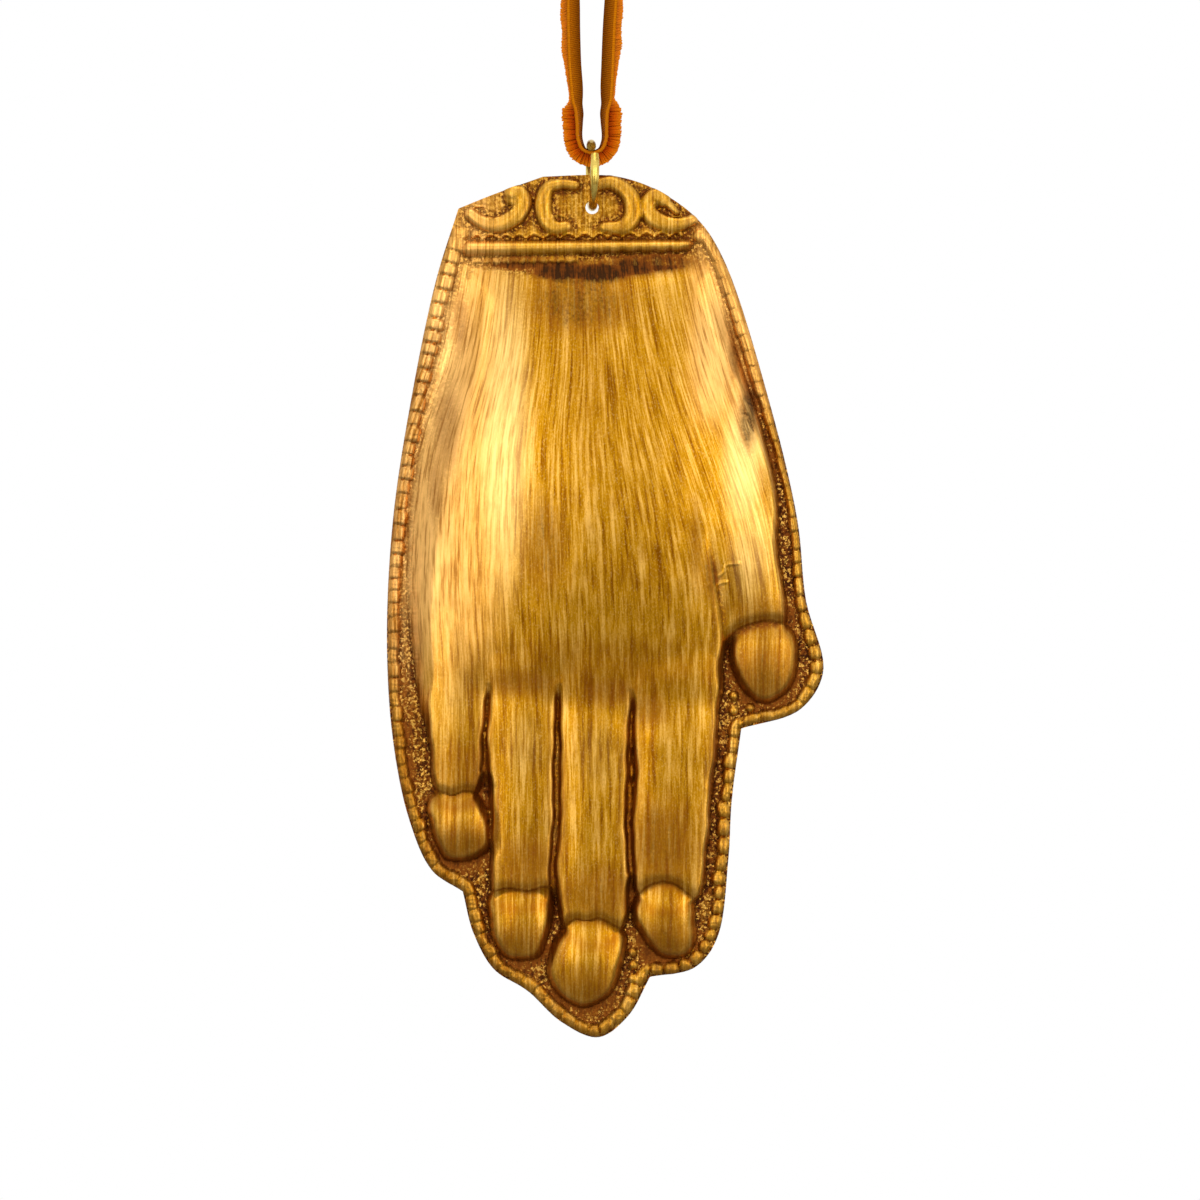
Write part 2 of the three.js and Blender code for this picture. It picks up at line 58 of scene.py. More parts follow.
# %% [markdown]
# ## Camera
# The picture looks straight at the front of the hand, level with the middle of it. A long lens far away
# keeps the outline nearly flat, as it is there. The hand's own plane is at y = 0, so the distance follows
# from how many millimetres of that plane fill the picture.

# %% Camera
PICTURE_SIDE = 1200  # pixels
PIXEL = 0.14733 * MM  # size of one pixel in the plane of the sheet
LENS, SENSOR = 100, 36  # millimetres
CAMERA_ACROSS, CAMERA_UP = 0.00116, -0.1122
camera_far = PICTURE_SIDE * PIXEL * LENS / SENSOR
bpy.ops.object.camera_add(location=(CAMERA_ACROSS, -camera_far, CAMERA_UP), rotation=(math.pi / 2, 0, 0))
camera = bpy.context.object
camera.data.lens = LENS
camera.data.sensor_width = SENSOR
bpy.context.scene.camera = camera
print(f"camera {camera_far * 1000:.0f} mm in front of the sheet")

# %% [markdown]
# ## Smooth lines
# The ribbon, the outline of the hand and its chased lines are all drawn as a few points. A curve
# that passes through all its points, with its speed set by the distance between them, joins them without
# overshooting, and it is the same kind of curve that the solids were drawn with.


# %% Smooth lines
def smooth_line(points, steps, closed=False):
    """A smooth curve through the drawn points."""
    points = np.asarray(points, float)
    if closed:
        padded = np.vstack([points[-1:], points, points[:2]])
    else:
        padded = np.vstack([2 * points[:1] - points[1:2], points, 2 * points[-1:] - points[-2:-1]])
    spans = len(points) if closed else len(points) - 1
    place = np.linspace(0, spans, steps + 1)
    index = np.minimum(place.astype(int), spans - 1)
    share = (place - index)[:, None]
    p0, p1, p2, p3 = (padded[index + k] for k in range(4))
    d0, d1, d2 = (np.sqrt(np.linalg.norm(b - a, axis=1))[:, None] for a, b in ((p0, p1), (p1, p2), (p2, p3)))
    leaving = ((p1 - p0) / d0 - (p2 - p0) / (d0 + d1) + (p2 - p1) / d1) * d1
    arriving = ((p2 - p1) / d1 - (p3 - p1) / (d1 + d2) + (p3 - p2) / d2) * d1
    bend = 3 * (p2 - p1) - 2 * leaving - arriving
    return p1 + share * (leaving + share * (bend + share * (2 * (p1 - p2) + leaving + arriving)))


def even_line(points, gap, closed=False):
    """The same curve with its points evenly spaced, and how far along it each one is."""
    fine = smooth_line(points, 40 * len(points), closed)
    run = np.concatenate([[0], np.cumsum(np.linalg.norm(np.diff(fine, axis=0), axis=1))])
    at = np.linspace(0, run[-1], round(run[-1] / gap) + 1)
    return np.column_stack([np.interp(at, run, fine[:, k]) for k in range(fine.shape[1])]), at


def ramp(low, high, value):
    """0 below low, 1 above high and a smooth step between them. Low may be the larger of the two."""
    share = np.clip((value - low) / (high - low), 0, 1)
    return share * share * (3 - 2 * share)


# %% [markdown]
# ## Ribbon: how it lies
# Velvet ribbon has a ribbed, woven back with a firm edge on both sides, and a deep pile on its face. It is
# doubled through the ring with the back inwards. Beside the ring it lies edge on to us, and further up each
# strand turns its back to the front. The route repeats the centreline of the CAD solid, in metres.

# %% Ribbon: how it lies
ROUTE = [
    (-0.0013, 0, 0.0005), (-0.0022, 0, -0.0022), (-0.0032, 0, -0.0056), (-0.0037, 0, -0.0095),
    (-0.0037, 0, -0.014), (-0.0034, 0, -0.019), (-0.00315, 0, -0.024), (-0.0031, 0, -0.028),
    (-0.00295, 0, -0.033), (-0.00265, 0, -0.0375), (-0.00275, 0, -0.0415), (-0.00265, 0, -0.0446),
    (-0.0018, 0, -0.04644), (0, 0, -0.0471), (0.0018, 0, -0.04644), (0.00265, 0, -0.0446),
    (0.00265, 0, -0.0415), (0.00255, 0, -0.0375), (0.0027, 0, -0.033), (0.0029, 0, -0.028),
    (0.00315, 0, -0.024), (0.0035, 0, -0.019), (0.00375, 0, -0.014), (0.0037, 0, -0.0095),
    (0.0032, 0, -0.0056), (0.0022, 0, -0.0022), (0.0013, 0, 0.0005),
]
RIBBON_WIDTH = 3.0 * MM
RIB_PITCH = 0.32 * MM
STRAND_TURN = math.radians(34)
BIGHT_TURN = 0.32  # the share of that turn that is left in the bight
# Where the ribbon turns out, turns back and lies round the ring, as shares of the way from bight to knot
TURNS_OUT, TURNS_BACK, ROUND_RING = (0.1, 0.26), (0.97, 0.75), (0.205, 0.16)


def unit(rows):
    """Rows of x, y and z, each made 1 long."""
    return rows / np.linalg.norm(rows, axis=1)[:, None]


def headings(line):
    """The direction of a line at each of its points."""
    return unit(np.gradient(line, axis=0))


def lay(line, turn):
    """Directions across a ribbon and out of its back, turned about its line by an angle."""
    along = headings(line)
    fore_aft = np.array([0.0, 1.0, 0.0])
    side = unit(fore_aft - along * (along @ fore_aft)[:, None])
    across = side * np.cos(turn)[:, None] + np.cross(along, side) * np.sin(turn)[:, None]
    return across, np.cross(along, across)


strand, strand_at = even_line(ROUTE, RIB_PITCH / 4)
strand_length = strand_at[-1]
from_bight = np.abs(strand_at / strand_length - 0.5) * 2
strand_turn = STRAND_TURN * (BIGHT_TURN + (1 - BIGHT_TURN) * ramp(*TURNS_OUT, from_bight))
strand_turn = strand_turn * ramp(*TURNS_BACK, from_bight)
round_ring = ramp(*ROUND_RING, from_bight)  # 1 where the ribbon bends round the ring
print(f"ribbon loop {strand_length * 1000:.1f} mm from knot to knot, {len(strand)} steps")

# %% [markdown]
# ## Ribbon: woven back
# The back of the ribbon is a firm cloth. A modifier could sweep a curve, but the ribs would then need a
# texture. So one flat section is carried along the line in steps finer than a rib: a rib crosses it every
# third of a millimetre, and its two edges stand up a little.

# %% Ribbon: woven back
# Across the ribbon as a share of half its width, and out of its back in millimetres
WEAVE_SECTION = [
    (-0.8, 0), (-0.5, 0), (-0.17, 0), (0.17, 0), (0.5, 0), (0.8, 0), (0.92, 0.07), (1, -0.06), (1, -0.28),
    (0.92, -0.45), (0.33, -0.45), (-0.33, -0.45), (-0.92, -0.45), (-1, -0.28), (-1, -0.06), (-0.92, 0.07),
]
RIBBED = 6  # the first points of the section carry the ribs
RIB_HEIGHT = 0.04 * MM


def weave(line, at, across, back, lift, firm=1, cut=0):
    """Points, faces, shares across, ribs and kind 0 of a woven back, with its last end cut on a slant."""
    points = []
    rib = RIB_HEIGHT * np.sin(2 * math.pi * at / RIB_PITCH)
    along = headings(line)
    slant = cut * ramp(at[-1] - RIBBON_WIDTH, at[-1], at)
    for k, (share, out) in enumerate(WEAVE_SECTION):
        height = lift + out * MM + (rib if k < RIBBED else 0)
        shift = share * RIBBON_WIDTH / 2
        points.append(line + across * shift + back * height[:, None] + along * (slant * share)[:, None])
    points = np.stack(points, axis=1).reshape(-1, 3)
    sides, steps = len(WEAVE_SECTION), len(line)
    i, k = np.meshgrid(np.arange(steps - 1), np.arange(sides), indexing="ij")
    here, beside = i * sides + k, i * sides + (k + 1) % sides
    faces = np.stack([here, beside, beside + sides, here + sides], axis=-1).reshape(-1, 4).tolist()
    faces.append(list(range(sides))[::-1])
    faces.append([(steps - 1) * sides + k for k in range(sides)])
    reach = np.array([share for share, _ in WEAVE_SECTION]) * np.broadcast_to(firm, steps)[:, None]
    return points, faces, reach.ravel(), np.repeat(rib / RIB_HEIGHT, sides), 0


print(f"woven back: {len(WEAVE_SECTION)} points round it, a rib every {RIB_PITCH / MM:.2f} mm")

# %% [markdown]
# ## Ribbon: pile
# The face of velvet is a field of short cut threads. A hair system would not survive an export, so the pile
# is real mesh: one small tuft that widens to its tip, copied in rows. Where the ribbon bends hard the rows
# part at their roots, and there the pile stands up to its full length. Elsewhere its nap lies down.

# %% Ribbon: pile
# A tuft has a root and a tip with four corners each, and no face at its root
TUFT_HEIGHTS = np.repeat([0, 1], 4)
TUFT_WIDTHS = np.repeat([0.7, 1.2], 4)
TUFT_FACES = [(0, 1, 5, 4), (1, 2, 6, 5), (2, 3, 7, 6), (3, 0, 4, 7), (4, 5, 6, 7)]
TUFT_WIDTH = 0.11 * MM  # from its middle to a corner
TUFT_FOOT = 0.36 * MM  # how deep in the weave it stands
ROW_GAP, IN_A_ROW, ROW_REACH = 0.16 * MM, 19, 0.93
BUNCH, BUNCH_PULL = 0.72 * MM, 0.28  # where the rows part, the roots gather and the tips do not
SPLAY, NAP_LEAN = 0.42, 0.35  # outwards at the edges, and along where the nap lies down
chance = np.random.default_rng(20)


def pile(line, at, across, back, lift, height, parted):
    """Points, faces, shares up the tuft, nap and kind 1 of rows of tufts on the face of a woven back."""
    along = headings(line)
    rows = np.arange(at[0] + ROW_GAP / 2, at[-1], ROW_GAP)
    root_at = np.repeat(rows, IN_A_ROW) + chance.uniform(-0.3, 0.3, len(rows) * IN_A_ROW) * ROW_GAP
    root_at = np.clip(root_at, at[0], at[-1])
    share = np.tile(np.linspace(-ROW_REACH, ROW_REACH, IN_A_ROW), len(rows))
    share = share + chance.uniform(-0.05, 0.05, len(root_at))
    place = np.searchsorted(at, root_at).clip(0, len(at) - 1)
    gathered = np.interp(root_at, at, parted)
    root_at = root_at - BUNCH_PULL * gathered * ((root_at / BUNCH) % 1 - 0.5) * BUNCH
    root_place = np.searchsorted(at, root_at).clip(0, len(at) - 1)
    foot = lift[root_place] - TUFT_FOOT
    root = line[root_place] + across[root_place] * (share * RIBBON_WIDTH / 2)[:, None]
    root = root + back[root_place] * foot[:, None]
    long = height[place] * chance.uniform(0.92, 1.04, len(place))
    splay = SPLAY * share * np.abs(share) + chance.uniform(-0.08, 0.08, len(place))
    lean = chance.uniform(-0.07, 0.07, len(place)) + NAP_LEAN * (1 - gathered)
    tip = line[place] + across[place] * (share * RIBBON_WIDTH / 2 + splay * long)[:, None]
    tip = tip + back[place] * (foot - long)[:, None] + along[place] * (lean * long)[:, None]
    points = root[:, None] + (tip - root)[:, None] * TUFT_HEIGHTS[:, None]
    width = TUFT_WIDTH * chance.uniform(0.75, 1.2, len(place))
    for corner, (one, two) in enumerate(((1, 0), (0, 1), (-1, 0), (0, -1)) * 2):
        step = across[place] * one + along[place] * two
        points[:, corner] += step * (width * TUFT_WIDTHS[corner])[:, None]
    starts = np.arange(len(place)) * len(TUFT_HEIGHTS)
    faces = [[start + k for k in face] for start in starts.tolist() for face in TUFT_FACES]
    reach = np.tile(TUFT_HEIGHTS, len(place))
    return points.reshape(-1, 3), faces, reach, np.repeat(1 - gathered, len(TUFT_HEIGHTS)), 1


print(f"pile: {IN_A_ROW} tufts in a row, a row every {ROW_GAP / MM:.2f} mm")

# %% [markdown]
# ## Ribbon: the loop
# The loop is one doubled strip, so its weave and its pile become one mesh, with a material slot for each.
# Two numbers stay with every point for the finish to read: how far across the weave or up its tuft it is,
# and how high its rib stands or how flat its nap lies. The pile is tallest where the ribbon bends.

# %% Ribbon: the loop
LIFT, BIGHT_LIFT = 0.62, 0.4  # how far the woven back lies from the line, and how much further in the bight
NAP_HEIGHT, STRAND_PILE, BIGHT_PILE = 0.3, 0.5, 1.5  # everywhere, more up the strands, and more in the bight


def keep(piece, name, values):
    """Keeps one number for each point of a piece, for its material to read."""
    piece.data.attributes.new(name, "FLOAT", "POINT").data.foreach_set("value", values.astype(np.float32))


def velvet_piece(name, stretches):
    """One mesh from several stretches of weave and pile. Each kind has its own material slot."""
    faces, kinds, first = [], [], 0
    for made_points, made_faces, _, _, kind in stretches:
        faces += [[first + k for k in face] for face in made_faces]
        kinds += [kind] * len(made_faces)
        first += len(made_points)
    points, _, reach, ribs, _ = zip(*stretches)
    mesh = bpy.data.meshes.new(name)
    mesh.from_pydata(np.vstack(points).tolist(), [], faces)
    piece = bpy.data.objects.new(name, mesh)
    keep(piece, "reach", np.concatenate(reach))
    keep(piece, "rib", np.concatenate(ribs))
    mesh.polygons.foreach_set("material_index", kinds)
    bpy.context.scene.collection.objects.link(piece)
    bpy.ops.object.select_all(action="DESELECT")
    piece.select_set(True)
    bpy.context.view_layer.objects.active = piece
    bpy.ops.object.mode_set(mode="EDIT")
    bpy.ops.mesh.select_all(action="SELECT")
    bpy.ops.mesh.normals_make_consistent(inside=False)
    bpy.ops.object.mode_set(mode="OBJECT")
    bpy.ops.object.shade_smooth_by_angle(angle=math.radians(50))
    return piece


across, back = lay(strand, strand_turn)
loop_lift = (LIFT + BIGHT_LIFT * round_ring) * MM
lumps = 1 + 0.3 * np.sin(strand_at / (1.3 * MM)) * np.sin(strand_at / (2.1 * MM) + 1)
up_strand = lumps * ramp(0.23, 0.36, from_bight)
loop_pile = (NAP_HEIGHT + STRAND_PILE * up_strand + BIGHT_PILE * round_ring) * MM
velvet_loop = velvet_piece("velvet_loop", [
    weave(strand, strand_at, across, back, loop_lift, firm=0.8 + 0.2 * round_ring),
    pile(strand, strand_at, across, back, loop_lift, loop_pile, round_ring),
])
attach(velvet_loop, "ribbon")
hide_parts("ribbon_loop")
print(f"velvet loop: {len(velvet_loop.data.polygons)} faces")

# %% [markdown]
# ## Ribbon: the knot
# The two ends are tied together in one overhand knot above the picture, and their cut tails stand up from
# it. The knot is drawn as what shows of it: a tight core, two turns of ribbon drawn round it on opposite
# slants, and the tails, each cut on a slant so that it does not fray.

# %% Ribbon: the knot
KNOT_MIDDLE = np.array([0, 0, 0.0036])
KNOT_RADII = np.array([2.2, 1.6, 2.1]) * MM
KNOT_PILE = 0.75 * MM
TURN_RADII = (2.5 * MM, 1.9 * MM)
TURN_LIFT, TAIL_LIFT = 0.2 * MM, 0.5 * MM
TURNS = [(30, 0.0004), (-24, -0.0003)]  # slant in degrees, and rise in metres
TAIL_TURN = math.radians(40)
TAIL_CUT = 0.8 * MM
LEFT_TAIL = [(-0.7, 0, 4), (-1.3, -0.2, 6.6), (-2.6, -0.7, 10.5), (-3.7, -0.3, 14.6)]
RIGHT_TAIL = [(0.7, 0, 4), (1.4, -0.3, 6.6), (2.9, -0.5, 10), (4, -0.4, 13.8)]


def knot_ribbon(line, at, across, back, lift, cut=0):
    """Weave and pile of a stretch of ribbon in the knot."""
    lift, tall, flat = (np.full(len(at), size) for size in (lift, KNOT_PILE, 0.0))
    return [
        weave(line, at, across, back, lift, cut=cut),
        pile(line, at, across, back, lift, tall, flat),
    ]


def knot_turn(slant, rise):
    """A turn of ribbon round the core, leaning to one side, with its back to the core."""
    angle = np.linspace(0, 2 * math.pi, 12, endpoint=False)
    ring = np.column_stack([TURN_RADII[0] * np.cos(angle), TURN_RADII[1] * np.sin(angle), 0 * angle])
    ring[:, 2] = ring[:, 0] * math.tan(math.radians(slant)) + rise
    line, at = even_line(ring + KNOT_MIDDLE, RIB_PITCH / 3, closed=True)
    along = headings(line)
    inward = KNOT_MIDDLE + np.array([0, 0, rise]) - line
    inward = unit(inward - along * np.sum(inward * along, axis=1)[:, None])
    return knot_ribbon(line, at, np.cross(inward, along), inward, TURN_LIFT)


def knot_tail(points, side):
    """A tail of ribbon that leaves the knot upwards, with its cut end on a slant."""
    line, at = even_line(np.array(points) * MM, RIB_PITCH / 3)
    return knot_ribbon(line, at, *lay(line, np.full(len(at), side * TAIL_TURN)), TAIL_LIFT, cut=side * TAIL_CUT)


bpy.ops.mesh.primitive_uv_sphere_add(segments=24, ring_count=16, radius=1)
core = bpy.context.object
core_points = np.array([v.co for v in core.data.vertices]) * KNOT_RADII + KNOT_MIDDLE
core_faces = [list(face.vertices) for face in core.data.polygons]
bpy.data.objects.remove(core)
no_reach = np.zeros(len(core_points))
velvet_knot = velvet_piece("velvet_knot", [
    (core_points, core_faces, no_reach, no_reach, 0),
    *knot_turn(*TURNS[0]),
    *knot_turn(*TURNS[1]),
    *knot_tail(LEFT_TAIL, 1),
    *knot_tail(RIGHT_TAIL, -1),
])
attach(velvet_knot, "ribbon")
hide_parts("ribbon_knot")
smooth_line(ROUTE, 130).tolist()
print(f"velvet knot: {len(velvet_knot.data.polygons)} faces")

# %% [markdown]
# ## Jump ring
# The ring is plain round wire, bent once round. Spinning a circle about the ring's axis gives it, a little
# short of a full turn, because the two ends stand about two millimetres apart. A real ring is opened
# sideways with two pliers and never comes back quite true, so one end also stands a little to one side.

# %% Jump ring
WIRE = 1.3 * MM
RING_RADIUS = 4.6 * MM  # to the middle of the wire
SPLIT_ANGLE = math.radians(45)  # from the top of the ring towards the front
SPLIT_GAP = 2.1 * MM
SPLIT_OFFSET = 0.4 * MM  # sideways, from one end to the other
ring_joint = next(joint for joint in frame["joints"] if joint["name"] == "ring_swing")


def places(piece):
    """The points of a piece's mesh as rows of x, y and z."""
    flat = np.empty(3 * len(piece.data.vertices))
    piece.data.vertices.foreach_get("co", flat)
    return flat.reshape(-1, 3)


def set_places(piece, points):
    """Moves the points of a piece's mesh."""
    piece.data.vertices.foreach_set("co", np.ascontiguousarray(points, np.float32).ravel())
    piece.data.update()


gap_angle = SPLIT_GAP / RING_RADIUS
first_angle = SPLIT_ANGLE + gap_angle / 2
bpy.ops.mesh.primitive_circle_add(vertices=24, radius=WIRE / 2)
brass_ring = bpy.context.object
brass_ring.name = "brass_ring"
brass_ring.rotation_euler = (first_angle + math.pi / 2, 0, 0)
brass_ring.location = (0, -RING_RADIUS * math.sin(first_angle), RING_RADIUS * math.cos(first_angle))
bpy.ops.object.transform_apply(location=True, rotation=True, scale=True)
bpy.ops.object.mode_set(mode="EDIT")
bpy.ops.mesh.select_all(action="SELECT")
bpy.ops.mesh.spin(steps=100, angle=-(2 * math.pi - gap_angle), center=(0, 0, 0), axis=(1, 0, 0))
bpy.ops.mesh.select_all(action="SELECT")
bpy.ops.mesh.fill_holes(sides=0)
bpy.ops.mesh.normals_make_consistent(inside=False)
bpy.ops.object.mode_set(mode="OBJECT")
wire_points = places(brass_ring)
turned = (np.arctan2(-wire_points[:, 1], wire_points[:, 2]) - first_angle + 1e-6) % (2 * math.pi)
wire_points[:, 0] += SPLIT_OFFSET * (0.5 - turned / (2 * math.pi - gap_angle))
toward, beside = ring_joint["axis"][:2]
turn_about_z = np.array([[toward, -beside, 0], [beside, toward, 0], [0, 0, 1]])
set_places(brass_ring, wire_points @ turn_about_z.T + ring_joint["pos_m"])
bpy.ops.object.shade_smooth_by_angle(angle=math.radians(40))
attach(brass_ring, "ring")
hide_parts("jump_ring")
print(f"brass ring: {len(brass_ring.data.polygons)} faces, split opens {math.degrees(gap_angle):.1f} degrees")

# %% [markdown]
# ## Hand: the drawing of the outline, palm and fingers
# The hand is drawn flat, in hundredths of its length, across from the hole and down from the top edge, the
# same way as in the solids. The outline is several smooth stretches that meet in corners, as the snips left
# them. Palm, fingers and nails are closed lines.

# %% Hand: the drawing of the outline, palm and fingers
HAND_LENGTH = 127.0  # millimetres, top edge of the cuff to the middle fingertip
UNIT = HAND_LENGTH / 100
SHEET = 0.4
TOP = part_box("hand_plate")[1].z / MM
HOLE_DOWN, HOLE_RADIUS = -4.77, 1.0
OUTLINE = [
    [(-15.5, -3.9), (-11.3, -2.2), (-5.7, -0.2)],
    [(-5.7, -0.2), (0, 0), (3, -0.2), (7.2, -1.6), (12.2, -5.1), (15.3, -9.9), (20.5, -26.1), (23.8, -40),
     (24.8, -49.3), (26.8, -57.6), (24.1, -62), (17.3, -64.2)],
    [(17.3, -64.2), (16.2, -72.5), (15.8, -79.4), (14.5, -88.5), (11.9, -91.9), (6.7, -93)],
    [(6.7, -93), (4.2, -97.5), (0.7, -100), (-3.6, -98.2), (-7.5, -94.6), (-11.4, -92.1), (-13.8, -87.8),
     (-15, -83.1)],
    [(-15, -83.1), (-18.6, -80.6), (-21.2, -74.8), (-23.1, -65.5), (-23.8, -53.9), (-23.1, -40), (-21, -26.1),
     (-18.1, -12.2), (-15.5, -3.9)],
]
PALM = [
    (-14.2, -11.1), (-7.2, -11.2), (-0.2, -11.6), (6.7, -11), (13.9, -10.1), (15.1, -15.1), (17.6, -22.8),
    (20, -30.4), (21.6, -37.7), (21.6, -43.5), (22.6, -50.4), (22.1, -53.9), (19.2, -54.5), (16.5, -53.9),
    (15.3, -56.2), (14.9, -61.5), (11.4, -63.9), (5.6, -64.8), (0.9, -64.4), (-3.7, -63.4), (-7.8, -62.6),
    (-11.3, -62), (-12.2, -65), (-12.4, -68.4), (-13.7, -72.5), (-16.2, -73.4), (-18, -71.9), (-19, -66.1),
    (-20.2, -59.7), (-20.9, -52.8), (-21, -45.8), (-20.6, -38.8), (-19.7, -32.5), (-18.1, -26.7), (-16.2, -20.9),
    (-15, -15.7),
]
FINGERS = [
    [(-19, -58), (-17.5, -50), (-14, -52.5), (-12.2, -60.5), (-12.4, -68), (-13.7, -72.5), (-16.2, -73.4),
     (-18, -71.9), (-18.9, -66.5), (-19.2, -62)],
    [(-11.8, -55.5), (-7.8, -54), (-4.3, -55.5), (-4.2, -66.7), (-4.3, -74.8), (-4.6, -80.8), (-5.3, -84.1),
     (-8.4, -85), (-11.3, -84.1), (-11.9, -79.4), (-11.8, -73.6), (-12.2, -67.2)],
    [(-3.8, -56), (0.6, -54.5), (4.6, -56), (4.7, -67.8), (4.4, -74.8), (4.4, -81.2), (3.9, -87), (0.5, -89.3),
     (-3.2, -87.5), (-4.2, -82.9), (-4, -75.9), (-3.8, -69)],
    [(4.8, -56.5), (9.7, -55), (14.4, -56), (14.5, -66.1), (13.9, -72.5), (13.4, -78.3), (12.6, -83.5),
     (8.8, -85.4), (5.4, -84.1), (4.6, -79.4), (4.6, -73.6), (4.9, -67.8)],
    [(13.9, -44), (17.5, -38), (21.7, -41), (22.6, -47), (22.9, -51), (21, -54.5), (17.5, -54.5), (15.2, -51)],
]
PALM_LEFT = [(-14.2, -9), (-16.2, -20.9), (-19.7, -32.5), (-21, -45.8), (-20.2, -59.7), (-19.4, -66)]
PALM_RIGHT = [(13.9, -9), (18.1, -22.8), (22.2, -37.7), (22.5, -44.6), (20.5, -53), (16, -59.7), (15, -66)]
# Nails: little, ring, middle, index, thumb
NAILS = [
    [(-19.3, -73.4), (-18.6, -71.8), (-17.3, -71.5), (-16, -71.8), (-14.7, -71.3), (-13.4, -71.6),
     (-12.2, -73.2), (-11.5, -75.4), (-11.5, -77.6), (-12.7, -79), (-14.7, -79.6), (-16.9, -79.4),
     (-18.2, -77.6), (-19, -75)],
    [(-11.9, -83.2), (-10.1, -82.5), (-7.4, -82.8), (-5.2, -82.5), (-4.5, -83.2), (-4.5, -85.8), (-5, -88.6),
     (-6.2, -90.6), (-8.4, -91.2), (-10.4, -90.6), (-11.6, -88.6), (-12.1, -85.8)],
    [(-5.4, -91.8), (-4.8, -89.5), (-3.6, -87.4), (-1.9, -86.1), (-0.8, -86.4), (0.6, -86.1), (2.3, -86.8),
     (3.8, -87.5), (4, -89.5), (3.6, -91.8), (2.7, -94.3), (1.1, -95.8), (-0.8, -96.5), (-2.6, -96.1),
     (-4.4, -94.7), (-5.2, -93.3)],
    [(4.5, -85), (5, -83.6), (6.6, -82.1), (8.5, -81.8), (10.4, -82.7), (11.8, -84.1), (12.1, -86.4),
     (12.2, -88.7), (11.3, -90.3), (9.4, -90.9), (7.5, -90.5), (6.2, -89.1), (5, -87.1)],
    [(15.8, -54.9), (16.4, -53), (18.6, -51.9), (20.8, -51.7), (22.9, -52.3), (23.8, -53.9), (24, -56.2),
     (23.6, -58.4), (22.6, -60), (20.8, -61.2), (19, -61.2), (17.4, -59.8), (16.2, -57.6)],
]


def chain(points, steps, closed=False):
    """A drawn line as a smooth one, in millimetres."""
    return smooth_line(np.array(points) * UNIT, steps, closed)


outline = np.vstack([chain(stretch, 8 * len(stretch))[:-1] for stretch in OUTLINE])
outline = np.vstack([outline, outline[:1]])
hole = HOLE_RADIUS * np.array([(math.cos(a), math.sin(a)) for a in np.linspace(0, 2 * math.pi, 49)])
hole[:, 1] += HOLE_DOWN
palm = chain(PALM, 110, closed=True)
palm_left, palm_right = chain(PALM_LEFT, 30), chain(PALM_RIGHT, 30)
fingers = [chain(points, 40, closed=True) for points in FINGERS]
nails = [chain(points, 40, closed=True) for points in NAILS]
print(f"outline: {len(outline) - 1} short cuts, {np.ptp(outline[:, 0]):.1f} by {np.ptp(outline[:, 1]):.1f} mm")

# %% [markdown]
# ## Hand: the drawing of the cuff and the chased lines
# The cuff carries a bar with a frilled lip and five scrolls. Between the fingers and beside the thumb the
# tin was chased with a blunt tool, and here and there a tool left a thin lip or a loose bead. All of these
# are open lines or single points, in the same hundredths.

# %% Hand: the drawing of the cuff and the chased lines
BAR = [(-14.2, -8.6), (11, -8.25)]
# Cusps of the frilled lip over the bar
FRILL = [-14, -12.7, -10.7, -9.2, -7.7, -5.7, -3.7, -1.8, 0.1, 1.8, 3.5, 5.4, 7.2, 9, 10.5]
SCROLLS = [
    [(-14.1, -4.6), (-13, -5.4), (-11.4, -5.9), (-10, -5.6), (-8.6, -4.6), (-8, -3.2), (-8.3, -2.3), (-9.2, -2.1)],
    [(-2, -1.2), (-3.6, -1.1), (-5, -1.5), (-5.6, -2.7), (-5.6, -4.3), (-5, -5.7), (-4, -6.2), (-3, -6)],
    [(0.8, -1.1), (2, -0.9), (3.4, -1.5), (4.5, -2.7), (4.8, -4), (4.5, -5.2), (3.4, -6.1), (1.4, -6.1)],
    [(8.2, -2.9), (7.5, -2.4), (6.6, -3.1), (6.4, -4), (7.1, -5), (8.5, -5.7), (10, -5.8), (11.6, -5.3)],
    [(7.3, -2.7), (8.3, -3.1), (9.1, -3.7), (9.8, -4.4)],
]
# Width of each scroll in millimetres, from its first point to its last
SCROLL_WIDTHS = [
    (1.9, 2.3, 2.5, 2.7, 2.6), (1.7, 1.8, 2.7, 2.6, 1.9), (2.1, 2.3, 2.9, 2.7, 1.8), (2.3, 2.7, 2.8, 2.5, 1.7),
    (1.7, 1),
]
GROOVES = [
    [(13.2, -40.9), (14, -45.2), (14.7, -49.3), (15.3, -53.9), (15.5, -59.7)],
    [(-12, -59.2), (-12.3, -64.3), (-12.6, -68.8)],
    [(-3.7, -59.2), (-4, -63.4), (-4, -70.6), (-4.7, -82.3)],
    [(4.5, -59.9), (4.6, -62.4), (4.2, -70.8), (4.3, -80.6)],
]
ROOTS = [
    (-12, -60.4), (-10.5, -59.7), (-8, -59.4), (-5.6, -59.9), (-4.1, -61.6), (-2.6, -61), (0.5, -60.8), (3.2, -61.2),
    (4.5, -62.6), (6.2, -61.9), (9.7, -61.5), (14.6, -61.3),
]
# Thin lips and creases that the tools left: inside two scrolls, beside the thumb and at a corner of the palm
LIPS = [
    [(-13.5, -3.7), (-12.6, -3.7), (-12.2, -4.2), (-11.8, -5), (-10.8, -4.9), (-10, -4.5), (-9.1, -3.8)],
    [(-4.6, -4.8), (-3.7, -4.7), (-3.1, -4.9)],
    [(14.6, -46.5), (15.2, -46), (15.4, -45.3), (16.9, -45.1)],
    [(15.5, -47.2), (14.6, -47.4), (14.4, -47.7), (14.5, -48.3)],
    [(-14.3, -12), (-14.2, -11.2), (-12.9, -11.1)],
]
